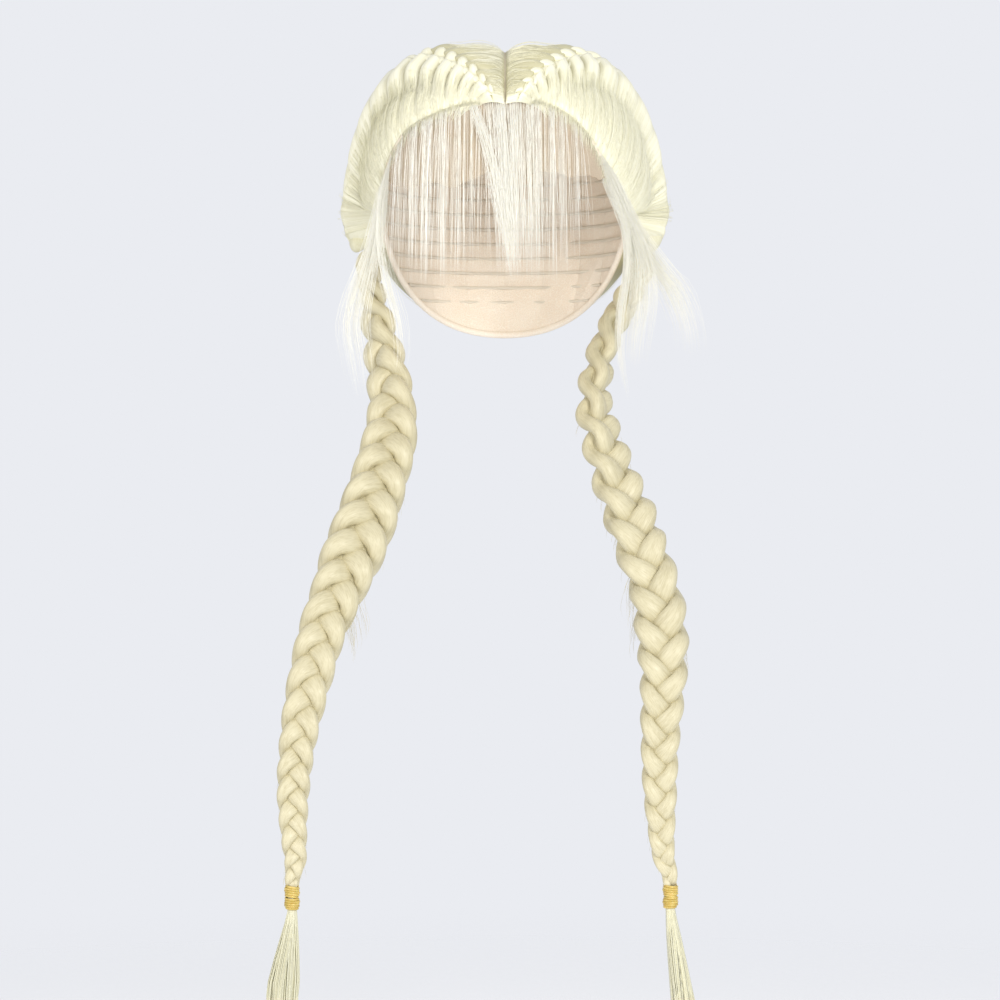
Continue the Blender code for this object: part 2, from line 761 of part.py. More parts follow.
def comb(band, locks):
    """One body: a band of box sections with locks that grow from the underside of its segments.

    A section holds four corners, inner then outer along its upper side and outer then inner along
    its lower side. A lock's sections start inner, inner, outer, outer round the segment.
    """
    shape = bmesh.new()
    stations = [[shape.verts.new(corner) for corner in section] for section in band]
    for index, (start, end) in enumerate(zip(stations, stations[1:])):
        for corner in (-1, 0, 1):
            shape.faces.new((start[corner], start[corner + 1], end[corner + 1], end[corner]))
        ring = [start[3], end[3], end[2], start[2]]
        for section in locks.get(index, []):
            following = [shape.verts.new(corner) for corner in section]
            add_grid(shape, [ring, following], closed=True)
            ring = following
        shape.faces.new(ring)
    shape.faces.new(stations[0])
    shape.faces.new(stations[-1])
    return shape


def hair_band(hairline, cut):
    """Box sections just below the hairline, standing off the lace."""
    sections = []
    for start, end in zip(hairline, cut):
        top = between(start, end, BAND_DROP)
        span = (on_head(start, BAND_LIFT) - on_head(end, BAND_LIFT)).length
        low = between(start, end, BAND_DROP + BAND_HEIGHT / span)
        thick = BAND_LIFT + BAND_WALL
        places = ((top, BAND_LIFT), (top, thick), (low, thick), (low, BAND_LIFT))
        sections.append([on_head(direction, lift) for direction, lift in places])
    return sections


def lock_section(centre, along, half_width, half_wall):
    """Four corners of a flat lock, whose width lies along the band."""
    level = Vector((along.x, along.y, 0)).normalized()
    outward = Vector((level.y, -level.x, 0))
    if outward.dot(centre - HEAD_CENTRE) < 0:
        outward = -outward
    wide, thick = level * half_width, outward * half_wall
    return [centre - wide - thick, centre + wide - thick, centre + wide + thick, centre - wide + thick]


def build_fringe(material):
    """Fringe of fine locks that fall from the hairline over the face opening."""
    hairline = front_line(FRINGE_REACH, FRINGE_STATIONS)
    band = hair_band(hairline, [between(start, heading(0, -90), BAND_LEAN) for start in hairline])
    locks = {}
    for segment, row in FRINGE.items():
        along = band[segment + 1][3] - band[segment][3]
        root = hairline[segment].lerp(hairline[segment + 1], 0.5)
        azimuth = math.degrees(math.atan2(root.x, -root.y))
        brow = on_head(heading(azimuth + row.drift / 4, FRINGE_BROW), FRINGE_LIFT)
        temple = on_head(heading(azimuth + row.drift / 2, 0), FRINGE_LIFT)
        tip = Vector((temple.x + row.drift / 2, temple.y - 1, row.tip))
        path = [(brow, row.half_width), (temple, row.half_width), (tip, FRINGE_TIP_HALF_WIDTH)]
        locks[segment] = [
            lock_section(centre, along, width, FRINGE_HALF_WALL) for centre, width in path
        ]
    add_object("fringe", comb(band, locks), material)


def build_temple_locks(name, side, table, material):
    """Loose locks left out at the temple, in front of the ear. The band is let down to the face."""
    first, last = TEMPLE_BAND
    places = [first + (last - first) * step / TEMPLE_STATIONS for step in range(TEMPLE_STATIONS + 1)]
    hairline = [mirrored(edge_heading(place, side), side) for place in places]
    face = heading(0, -20)
    band = hair_band(hairline, [between(start, face, BAND_LEAN) for start in hairline])
    locks = {}
    for segment, rows in table.items():
        along = band[segment + 1][3] - band[segment][3]
        locks[segment] = [
            lock_section(
                Vector((row.across, row.forward, row.height)), along, row.half_width, TEMPLE_HALF_WALL
            )
            for row in rows
        ]
    add_object(name, comb(band, locks), material)


def build_wig():
    hair = make_material("blond_hair", BLOND, 0.45)
    pale_hair = make_material("pale_fringe_hair", (0.90, 0.88, 0.76), 0.5)
    net = make_material("cap_net", (0.62, 0.47, 0.36), 0.85)
    lace = make_material("lace", (0.72, 0.56, 0.45), 0.8)
    rubber = make_material("elastic_rubber", (0.75, 0.46, 0.06), 0.4)
    build_net_cap(net)
    build_lace_front(lace)
    for side_name, side in SIDES.items():
        build_scalp_hair(f"scalp_hair_{side_name}", side, hair)
        build_crown_braid(f"crown_braid_{side_name}", side, hair)
        foot = build_plait(side_name, hair)
        build_elastic(f"elastic_{side_name}", foot, rubber)
        build_tail(f"tail_{side_name}", foot, TAILS[side_name], hair)
    build_fringe(pale_hair)
    for side_name, side in SIDES.items():
        build_temple_locks(f"temple_locks_{side_name}", side, TEMPLE_LOCKS[side_name], pale_hair)


build_wig()
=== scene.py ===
"""Braid wig: a lace-front wig with a centre parting, two crown braids and two long plaits.

Lengths are in millimetres until a mesh is made. The origin is the crown seat, the highest point
inside the cap; the face opening looks along -Y, and left is the -X side.
"""
import math

import bpy
import numpy as np
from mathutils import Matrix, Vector


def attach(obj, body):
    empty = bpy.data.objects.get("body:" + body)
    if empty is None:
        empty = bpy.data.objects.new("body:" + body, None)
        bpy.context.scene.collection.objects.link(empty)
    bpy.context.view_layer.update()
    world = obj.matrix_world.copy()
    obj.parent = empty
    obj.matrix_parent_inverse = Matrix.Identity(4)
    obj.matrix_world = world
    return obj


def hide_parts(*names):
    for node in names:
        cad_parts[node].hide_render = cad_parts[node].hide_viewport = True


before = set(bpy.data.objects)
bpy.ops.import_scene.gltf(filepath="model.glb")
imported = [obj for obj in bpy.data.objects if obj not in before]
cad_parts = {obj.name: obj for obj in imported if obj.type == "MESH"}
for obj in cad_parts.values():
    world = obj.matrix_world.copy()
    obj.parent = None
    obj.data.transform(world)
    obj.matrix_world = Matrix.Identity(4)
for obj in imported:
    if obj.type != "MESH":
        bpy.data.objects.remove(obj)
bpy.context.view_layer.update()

# Net cap
# The base of the wig is a stretch cap of warm tan net, bound round its edge. Its back is closed by
# rows of weft, hair machine-sewn along a cord, which are stitched round the inside of the cap.
MM = 0.001
SIDES = {"left": -1, "right": 1}
HEAD_CENTRE = np.array([0, 8, -88])
HEAD_HALF_BREADTH = 77
HEAD_FRONT = 98
HEAD_BACK = 96
HEAD_TOP = 88
HEAD_BOTTOM = 125
HEAD_SQUARENESS = 2.3
# The hair's plan from front to nape: the parting's angle round the middle plane from the front, then
# azimuth and elevation of the crown braid, of the left edge and of the right edge, in degrees
SCALP = np.array([
    (31, 4.5, 31.5, 9, 31, 9, 31),
    (44, 16, 41, 20, 29.4, 17, 30),
    (60, 30, 48, 31, 27, 26, 26),
    (80, 48, 53, 45, 23, 34, 19),
    (101, 68, 52, 56, 15, 42, 9),
    (122, 86, 45, 65, 6, 52, 0),
    (144, 99, 31, 73, -5, 66, -8),
    (168, 107, 14, 82, -7, 80, -8),
    (194, 110.5, -4, 90, -7, 90, -7),
    (226, 112, -20, 98, -12, 98, -12),
])
WEFT_FIRST = -24
WEFT_LAST = -150
WEFT_GAP = 9.5
WEFT_DEPTH = 1.5
WEFT_HALF_HEIGHT = 1.0
WEFT_HALF_WALL = 0.55
WEFT_HALF_TURN = 96
WEFT_CLEARANCE = 1
WEFT_SAMPLES = 121
WEFT_STATIONS = 100
WEFT_CORNERS = 8
LEVEL_SEARCH = 80
LEVEL_SEARCH_STEPS = 24
NET_CELLS = 620
NET_TAN = (0.95, 0.85, 0.72, 1)
NET_SHADOW = (0.91, 0.79, 0.65, 1)
NET_THREAD = (0.98, 0.91, 0.80, 1)
WEFT_CORD = (0.94, 0.85, 0.72, 1)
WEFT_STITCH = (0.98, 0.92, 0.79, 1)
RIM_START = 0.35
RIM_EAR_STATIONS = 110
RIM_NAPE_STATIONS = 30
TAPE_LIFT = -0.5
TAPE_HALF_WIDTH = 2.2
TAPE_HALF_WALL = 2.0
TAPE_CORNERS = 12


def unit(vector):
    return vector / np.linalg.norm(vector, axis=-1, keepdims=True)


def column(values):
    """Numbers with a last axis of one, so that they multiply vectors."""
    return np.asarray(values, dtype=float)[..., None]


def vectors(x, y, z):
    """Vectors from their three parts, arrays or numbers, which are brought to one shape."""
    return np.stack(np.broadcast_arrays(x, y, z), axis=-1)


def heading(azimuth, elevation):
    """Unit direction from the cap's centre; azimuth 0 is the front and 180 the nape."""
    az, el = np.radians(azimuth), np.radians(elevation)
    return vectors(np.sin(az) * np.cos(el), -np.cos(az) * np.cos(el), np.sin(el))


def head_normal(direction):
    """The cap form's outward normal, and its reach from the centre, along a direction."""
    depth = np.where(direction[..., 1] < 0, HEAD_FRONT, HEAD_BACK)
    height = np.where(direction[..., 2] > 0, HEAD_TOP, HEAD_BOTTOM)
    radii = vectors(HEAD_HALF_BREADTH, depth, height)
    shares = direction / radii
    reach = (np.abs(shares) ** HEAD_SQUARENESS).sum(axis=-1) ** (-1 / HEAD_SQUARENESS)
    normal = np.sign(shares) * np.abs(shares) ** (HEAD_SQUARENESS - 1) / radii
    return unit(normal), column(reach)


def on_head(direction, lift):
    """Point that stands a lift above the cap form in a direction from its centre."""
    normal, reach = head_normal(direction)
    return HEAD_CENTRE + direction * reach + normal * column(lift)


def between(start, end, share):
    """Direction part of the way from one direction to another."""
    return unit(start * (1 - column(share)) + end * column(share))


def smooth_row(rows, place):
    """Rows of a table at places from 0 to 1, on smooth curves through the rows."""
    spot = np.clip(place, 0, 1) * (len(rows) - 1)
    index = np.minimum(spot.astype(int), len(rows) - 2)
    share = column(spot - index)
    a = rows[np.maximum(index - 1, 0)]
    b = rows[index]
    c = rows[index + 1]
    d = rows[np.minimum(index + 2, len(rows) - 1)]
    cubic = (3 * b - a - 3 * c + d) * share ** 3
    square = (2 * a - 5 * b + 4 * c - d) * share ** 2
    return (cubic + square + (c - a) * share) / 2 + b


def parting_heading(place):
    return heading(0, smooth_row(SCALP, place)[..., 0])


def braid_heading(place):
    row = smooth_row(SCALP, place)
    return heading(row[..., 1], row[..., 2])


def edge_heading(place, side):
    """Direction to the hairline or the ear opening's edge, mirrored to +X on both sides."""
    row = smooth_row(SCALP, place)
    first = 3 if side < 0 else 5
    return heading(row[..., first], row[..., first + 1])


def mirrored(points, side):
    return points * np.array([side, 1, 1])


def distance_along(points):
    """Distance from the first point of each line to every point of it, along the line."""
    steps = np.diff(points, axis=-2, prepend=points[..., :1, :])
    return np.linalg.norm(steps, axis=-1).cumsum(axis=-1)


class Shade:
    """One output of a finish's nodes. Sums and products with it add Math nodes."""

    def __init__(self, finish, socket):
        self.finish = finish
        self.socket = socket

    def __add__(self, other):
        return self.finish.maths("ADD", self, other)

    def __sub__(self, other):
        return self.finish.maths("SUBTRACT", self, other)

    def __rsub__(self, other):
        return self.finish.maths("SUBTRACT", other, self)

    def __mul__(self, other):
        return self.finish.maths("MULTIPLY", self, other)

    __radd__ = __add__
    __rmul__ = __mul__


class Finish:
    """A material and its nodes, around one Principled shader."""

    def __init__(self, name):
        self.material = bpy.data.materials.new(name)
        self.material.use_nodes = True
        self.tree = self.material.node_tree
        self.shader = self.tree.nodes["Principled BSDF"]

    def feed(self, node, sockets):
        for key, value in sockets.items():
            if isinstance(value, Shade):
                self.tree.links.new(value.socket, node.inputs[key])
            else:
                node.inputs[key].default_value = value

    def node(self, kind, settings, sockets, output=0):
        """Any node: its settings first, then the values or links of its sockets."""
        made = self.tree.nodes.new(kind)
        for key, value in settings.items():
            setattr(made, key, value)
        self.feed(made, sockets)
        return Shade(self, made.outputs[output])

    def attribute(self, name, output):
        return self.node("ShaderNodeAttribute", {"attribute_name": name}, {}, output)

    def maths(self, operation, *values):
        return self.node("ShaderNodeMath", {"operation": operation}, dict(enumerate(values)))

    def clamped(self, value, low, high):
        """A value brought from its range low to high into 0 to 1, with soft ends."""
        sockets = {"Value": value, "From Min": low, "From Max": high}
        return self.node("ShaderNodeMapRange", {"interpolation_type": "SMOOTHSTEP"}, sockets)

    def blend(self, start, end, share):
        return self.node("ShaderNodeMix", {"data_type": "RGBA"}, {0: share, 6: start, 7: end}, 2)

    def scaled(self, vector, scale):
        return self.node("ShaderNodeVectorMath", {"operation": "MULTIPLY"}, {0: vector, 1: scale})

    def noise(self, vector, scale, detail=2.0):
        return self.node("ShaderNodeTexNoise", {}, {"Vector": vector, "Scale": scale, "Detail": detail})

    def bump(self, height, strength, distance):
        sockets = {"Height": height, "Strength": strength, "Distance": distance * MM}
        return self.node("ShaderNodeBump", {}, sockets)

    def surface(self, sockets):
        self.feed(self.shader, sockets)
        return self.material


def make_piece(name, points, faces, lie, material, painted_shade=None):
    """A piece from points in millimetres. Lie holds how the hair or thread lies at each point, as
    two places across it and one along it, and the shade layer holds how far painted shade darkens
    the colour at each point."""
    mesh = bpy.data.meshes.new(name)
    mesh.from_pydata(points.reshape(-1, 3) * MM, [], faces.reshape(-1, 4), shade_flat=False)
    layer = mesh.attributes.new("lie", "FLOAT_VECTOR", "POINT")
    layer.data.foreach_set("vector", lie.reshape(-1).astype(np.float32))
    # Painted shade layer: how far each point's colour is darkened toward the painted shadow colour
    if painted_shade is not None:
        layer = mesh.attributes.new("painted_shade", "FLOAT", "POINT")
        layer.data.foreach_set("value", painted_shade.reshape(-1).astype(np.float32))
    mesh.materials.append(material)
    piece = bpy.data.objects.new(name, mesh)
    bpy.context.scene.collection.objects.link(piece)
    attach(piece, "root")
    return piece


def grid_faces(rows, columns, closed=False, copies=1):
    """Quads over grids of points; closed joins each row's end to its start."""
    index = np.arange(copies * rows * columns).reshape(copies, rows, columns)
    onward = np.roll(index, -1, axis=2)
    last = columns if closed else columns - 1
    corners = (index[:, :-1], onward[:, :-1], onward[:, 1:], index[:, 1:])
    return np.stack([corner[:, :, :last] for corner in corners], axis=-1).reshape(-1, 4)


def net_finish():
    finish = Finish("cap_net")
    place = finish.node("ShaderNodeTexCoord", {}, {}, "Object")
    cells = finish.node(
        "ShaderNodeTexVoronoi", {"feature": "DISTANCE_TO_EDGE"}, {"Vector": place, "Scale": NET_CELLS}
    )
    thread = 1 - finish.clamped(cells, 0.02, 0.14)
    mottle = finish.noise(place, 40)
    tan = finish.blend(NET_SHADOW, NET_TAN, finish.clamped(mottle, 0.3, 0.7))
    return finish.surface({
        "Base Color": finish.blend(tan, NET_THREAD, thread * 0.6),
        "Roughness": 0.85 - thread * 0.15,
        "Normal": finish.bump(thread, 0.6, 0.3),
        "Specular IOR Level": 0.25,
    })


def weft_finish():
    finish = Finish("weft_cord")
    lie = finish.attribute("lie", "Vector")
    stitch = finish.node(
        "ShaderNodeTexWave", {"bands_direction": "Z"}, {"Vector": lie, "Scale": 0.75, "Distortion": 1.5}
    )
    return finish.surface({
        "Base Color": finish.blend(WEFT_CORD, WEFT_STITCH, stitch),
        "Roughness": 0.75 - stitch * 0.2,
        "Normal": finish.bump(stitch, 0.7, 0.4),
        "Specular IOR Level": 0.3,
    })


def sweep(paths, outward, half_wide, half_thick, corners):
    """Sections of a cord or lock, square to each path, wide along the surface it lies on."""
    along = unit(np.gradient(paths, axis=-2))
    rise = unit(outward - along * (outward * along).sum(axis=-1, keepdims=True))
    across = np.cross(rise, along)
    angle = 2 * math.pi * np.arange(corners) / corners
    wide = across[..., None, :] * column(column(half_wide) * np.cos(angle))
    thick = rise[..., None, :] * column(column(half_thick) * np.sin(angle))
    return paths[..., None, :] + wide + thick


def cap_rim(side):
    """Directions along the cap's edge, on the +X side, from the ear opening to the nape."""
    ear = edge_heading(np.linspace(RIM_START, 1, RIM_EAR_STATIONS), side)
    braid_end, nape = braid_heading(1.0), parting_heading(1.0)
    share = np.linspace(0, 1, RIM_NAPE_STATIONS)[1:]
    return np.concatenate([ear, between(ear[-1], braid_end, share), between(braid_end, nape, share)])


def cap_edge_elevation(azimuth):
    """Elevation of the cap's edge at the back and sides, from the ear opening to the nape."""
    rim = cap_rim(1)
    around = np.degrees(np.arctan2(rim[:, 0], -rim[:, 1]))
    return np.interp(azimuth, around, np.degrees(np.arcsin(rim[:, 2])))


def weft_line(height):
    """Points of a level row inside the cap, from one side's edge round the back to the other's."""
    turn = np.linspace(-1, 1, WEFT_SAMPLES)
    azimuth = 180 - WEFT_HALF_TURN * np.abs(turn)
    low, high = np.full(turn.shape, -LEVEL_SEARCH), np.full(turn.shape, LEVEL_SEARCH)
    for _ in range(LEVEL_SEARCH_STEPS):
        elevation = (low + high) / 2
        over = on_head(heading(azimuth, elevation), -WEFT_DEPTH)[:, 2] > height
        low, high = np.where(over, low, elevation), np.where(over, elevation, high)
    inside = elevation > cap_edge_elevation(azimuth) + WEFT_CLEARANCE
    return on_head(heading(np.where(turn < 0, -azimuth, azimuth), elevation)[inside], -WEFT_DEPTH)


def make_wefts():
    strips, lies = [], []
    for number, height in enumerate(np.arange(WEFT_FIRST, WEFT_LAST, -WEFT_GAP)):
        line = weft_line(height)
        steps = np.linspace(0, len(line) - 1, WEFT_STATIONS)
        path = np.stack([np.interp(steps, np.arange(len(line)), axis) for axis in line.T], axis=-1)
        normal, _ = head_normal(unit(path - HEAD_CENTRE))
        strips.append(sweep(path, normal, WEFT_HALF_HEIGHT, WEFT_HALF_WALL, WEFT_CORNERS))
        lie = vectors(number * 7, 0, distance_along(path))
        lies.append(np.repeat(lie[:, None], WEFT_CORNERS, axis=1))
    faces = grid_faces(WEFT_STATIONS, WEFT_CORNERS, closed=True, copies=len(strips))
    make_piece("cap_wefts", np.stack(strips), faces, np.stack(lies), weft_finish())


def make_edge_tape():
    """Tape that binds the cap's edge, round both ear openings and across the nape."""
    rim = np.concatenate([cap_rim(1), mirrored(cap_rim(-1), -1)[::-1][1:]])
    path = on_head(rim, TAPE_LIFT)
    normal, _ = head_normal(rim)
    rings = sweep(path, normal, TAPE_HALF_WIDTH, TAPE_HALF_WALL, TAPE_CORNERS)
    faces = grid_faces(len(path), TAPE_CORNERS, closed=True)
    make_piece("edge_tape", rings, faces, rings, net_finish())


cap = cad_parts["net_cap"]
cap.material_slots[0].material = net_finish()
make_wefts()
make_edge_tape()

# Lace front
# A sheet of fine tinted lace is sewn to the front edge of the cap, and the front hair is knotted into
# it hair by hair. It runs down below the hairline to an edge cut roughly with scissors.
LACE_SEED = 11
LACE_LIFT = 0.35
LACE_STATIONS = 200
LACE_ROWS = 34
LACE_SEAM = 0.02
LACE_LENGTH = 58
LACE_MIDDLE_ROW = 20
LACE_SNIP = 0.35
LACE_SNIP_STATIONS = 4
LACE_HAIRLINE_REACH = 0.62
LACE_PARTING_TURN = 12
# Lower cut edge from the left temple to the right: azimuth and elevation in degrees
LACE_CUT = np.array([
    (-58, 7.5), (-52, 3), (-45, 1.5), (-36, 0.4), (-27, 1.5), (-18, -0.4), (-8, 4), (0, 4.6),
    (8, 3.4), (16, 5), (24, 3.2), (31, 4.6), (37, 3.6), (42, 5), (45, 5.5),
])
LACE_TINT = (0.56, 0.45, 0.33, 1)
LACE_THREAD = (0.65, 0.55, 0.42, 1)


def front_line(spot):
    """Hairline directions; spot runs from -1 at the left temple through the parting to 1."""
    reach = np.abs(spot) * LACE_HAIRLINE_REACH
    left = mirrored(edge_heading(reach, -1), -1)
    right = edge_heading(reach, 1)
    share = column(np.clip(spot * LACE_PARTING_TURN + 0.5, 0, 1))
    return unit(left * (1 - share) + right * share)


def lace_finish():
    finish = Finish("front_lace")
    lie = finish.attribute("lie", "Vector")
    cells = finish.node(
        "ShaderNodeTexVoronoi", {"feature": "DISTANCE_TO_EDGE"},
        {"Vector": lie, "Scale": 0.95, "Randomness": 0.35},
    )
    thread = 1 - finish.clamped(cells, 0.03, 0.16)
    cloud = finish.clamped(finish.noise(lie, 0.05), 0.35, 0.65)
    tint = finish.blend(LACE_TINT, LACE_THREAD, thread * 0.7 + cloud * 0.25)
    return finish.surface({
        "Base Color": tint,
        "Roughness": 0.7 - thread * 0.1,
        "Alpha": 0.72 + thread * 0.22,
        "Normal": finish.bump(thread, 0.3, 0.12),
        "Specular IOR Level": 0.2,
    })


def make_lace():
    rng = np.random.default_rng(LACE_SEED)
    spot = np.linspace(-1, 1, LACE_STATIONS)
    start = front_line(spot)
    cut = smooth_row(LACE_CUT, (spot + 1) / 2)
    knots = np.arange(0, LACE_STATIONS, LACE_SNIP_STATIONS)
    snips = np.interp(np.arange(LACE_STATIONS), knots, rng.normal(0, LACE_SNIP, len(knots)))
    end = heading(cut[:, 0], cut[:, 1] + snips)
    share = np.linspace(-LACE_SEAM, 1, LACE_ROWS)[:, None]
    share = np.broadcast_to(share, (LACE_ROWS, LACE_STATIONS))
    points = on_head(between(start[None], end[None], share), LACE_LIFT)
    lie = vectors(distance_along(points[LACE_MIDDLE_ROW]), share * LACE_LENGTH, 0)
    lace = make_piece(
        "lace_sheet", points, grid_faces(LACE_ROWS, LACE_STATIONS), lie, lace_finish()
    )
    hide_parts("lace_front")


make_lace()

# Scalp hair
# Pale blond fibre is knotted along the hairline and combed back, and combed out from the centre
# parting. A lock at a time is taken up into the crown braid, which draws the hair into ribs.
SCALP_SEED = 21
HAIR_ROOT_LIFT = 1.9
HAIR_UNDER_LIFT = 1.3
HAIR_GROOVE_LIFT = 4.2
HAIR_CORNERS = 3
HAIR_TILT = np.array([0.13, -0.21, 0.17])
PARTING_GAP = 0.8
PARTING_LIFT = 1.75
PARTING_HALF_WIDTH = 2.2
PARTING_LENGTH = 300
PARTING_STATIONS = 160
PARTING_COLUMNS = 5
PARTING_TINT = (0.74, 0.66, 0.50, 1)
PARTING_SHADOW = (0.62, 0.55, 0.42, 1)
SCALP_STATIONS = 380
SCALP_COLUMNS = 80
RIB_DEPTH = 5.4
RIB_BOW = 0.45
RIB_BACK_LOSS = 0.8
BACK_START = 0.32
BACK_SPAN = 0.3
FRONT_SPAN = 1 / 14
FRONT_LIP = 0.03
# Fine flutes along the combed hair, broad ones and then narrow ones: distance apart, depth, and how
# far they wander as a share of the hair's own wander
FLUTES = ((3.1, 0.22, 1.0), (1.3, 0.10, 1.4))
FLUTE_STEP = 0.25
FLUTE_REACH = 400
FLUTE_BACK_LOSS = 0.5
HAIR_WANDER = 2.2
SURFACE_HAIRS = 1000
SURFACE_POINTS = 11
SURFACE_RADII = (0.07, 0.14)
SURFACE_TIP = 0.24
OUTER_SHARE = 0.62
LOOSE_SHARE = 0.08
LOOSE_RISE = (1, 3)
ROOT_HAIRS = 1500
ROOT_RADII = (0.09, 0.16)
ROOT_LIFT = 0.55
ROOT_SCATTER = 4.2
ROOT_SCATTER_LIMIT = 12
HAIR_DRIFT = 0.006
# Crown braid and the hair beside it from front to nape: half width, height, hair thickness, and the
# length of one lobe
CROWN = np.array([
    (2.4, 7.5, 5.0, 7.5),
    (6.5, 11, 7.0, 10),
    (9.0, 12.5, 7.5, 12),
    (10.5, 15.5, 8, 13.5),
    (11.5, 18, 9.5, 16),
    (12.5, 20, 11.5, 19),
    (13.0, 21.5, 13, 21),
    (13.5, 23.5, 14, 24),
    (13.5, 25.5, 13, 24),
    (12.0, 23, 9, 23),
])
SCALP_DEEP = (0.87, 0.84, 0.62, 1)
SCALP_LIGHT = (0.98, 0.96, 0.78, 1)
# The roll of hair beside the braid, toward the parting and toward the edge: where it crests and
# where it starts to fall, as shares of the braid's half width, and its height as a share
ROLL_CRESTS = (0.42, 0.16)
ROLL_FALLS = (0.8, 1.0)
ROLL_FRONT_HEIGHTS = (0.94, 1.08)
ROLL_BACK_HEIGHTS = (0.66, 1.04)
ROLL_SHOULDER = 4
ROLL_FOOT = 15
# Painted shade: how much is laid over the half of the combed hair toward the parting, which takes the
# most light, and the painted shadow colour as shares of the deep colour
INNER_PAINTED_SHADE = 0.8
CREASE_SHADOW = (0.55, 0.53, 0.42)


def hair_finish(name, deep, light, strand_scale, roughness, bump, painted_glow=0):
    """Satin fibre: streaks that run along the hair, fine ones on broad ones, blended toward a darker
    painted shadow colour where the shade layer is set. The glow is painted light: the colour given
    off as emission, standing in for the light that scatters through thin loose fibre."""
    finish = Finish(name)
    lie = finish.attribute("lie", "Vector")
    fine = finish.noise(finish.scaled(lie, (1, 1, 0.012)), strand_scale, 2.0)
    broad = finish.noise(finish.scaled(lie, (1, 1, 0.04)), strand_scale * 0.22, 2.0)
    streak = fine * 0.55 + broad * 0.45
    share = finish.clamped(streak, 0.32, 0.6)
    # Painted shade: the streaked colour is blended toward a darker painted shadow colour where the shade
    # layer is set
    painted_shade = finish.attribute("painted_shade", "Fac")
    shadow = (*np.multiply(deep[:3], CREASE_SHADOW), 1)
    colour = finish.blend(finish.blend(deep, light, share), shadow, painted_shade)
    return finish.surface({
        "Base Color": colour,
        "Emission Color": colour,
        "Emission Strength": painted_glow,
        "Roughness": roughness + 0.12 - share * 0.2,
        "Normal": finish.bump(fine, bump, 0.35),
        "Specular IOR Level": 0.35,
        "Sheen Weight": 0.12,
        "Sheen Roughness": 0.4,
    })


def soft_step(value):
    value = np.clip(value, 0, 1)
    return value * value * (3 - 2 * value)


def rough_line(rng, spots, knot):
    """Smooth random heights, about -1 to 1, along a line of spots, with a knot every so often."""
    count = int(np.ceil(spots.max() / knot)) + 4
    heights = rng.uniform(-1, 1, count)
    place = (spots - spots.min()) / knot
    index = np.clip(place.astype(int), 0, count - 2)
    share = soft_step(place - index)
    return heights[index] * (1 - share) + heights[index + 1] * share


CROWN_PLACES = np.linspace(0, 1, 2001)
CROWN_TRAVEL = distance_along(on_head(braid_heading(CROWN_PLACES), 0))
crown_beats = np.cumsum(np.gradient(CROWN_TRAVEL) / smooth_row(CROWN, CROWN_PLACES)[:, 3])
CROWN_BEATS = crown_beats - crown_beats[-1]


def travel_at(place):
    return np.interp(place, CROWN_PLACES, CROWN_TRAVEL)


def beats_at(place):
    """Lobes of the crown braid from its end, back to a place along it."""
    return np.interp(place, CROWN_PLACES, CROWN_BEATS)


def roll_lift(place, across, reach):
    """Lift of the hair before it is ribbed; how far a spot is away from the braid's shoulder, up on
    the roll, down the roll's inner side and to the back of the cap; and the hair's thickness."""
    row = smooth_row(CROWN, place)
    half_width, height, hair = row[..., 0], row[..., 1], row[..., 2]
    off = np.abs(across) * reach
    shoulder = np.minimum(half_width + ROLL_SHOULDER, 0.8 * reach)
    away = np.clip((off - shoulder) / (reach - shoulder), 0, 1)
    full = HAIR_ROOT_LIFT + (hair - HAIR_ROOT_LIFT) * (1 - away ** 3)
    outer = (across > 0).astype(int)
    back = soft_step((place - BACK_START) / BACK_SPAN)
    crest = np.minimum(half_width * np.array(ROLL_CRESTS)[outer], 0.5 * reach)
    fall = np.clip(half_width * np.array(ROLL_FALLS)[outer], crest, 0.6 * reach)
    foot = np.minimum(half_width + ROLL_FOOT, 0.9 * reach)
    front_height, back_height = np.array(ROLL_FRONT_HEIGHTS)[outer], np.array(ROLL_BACK_HEIGHTS)[outer]
    peak = height * (front_height * (1 - back) + back_height * back)
    up = soft_step((foot - off) / (foot - fall))
    down = soft_step(off / crest)
    smooth = HAIR_GROOVE_LIFT + (full + (peak - full) * up - HAIR_GROOVE_LIFT) * down
    return smooth, away, up, down, back, hair


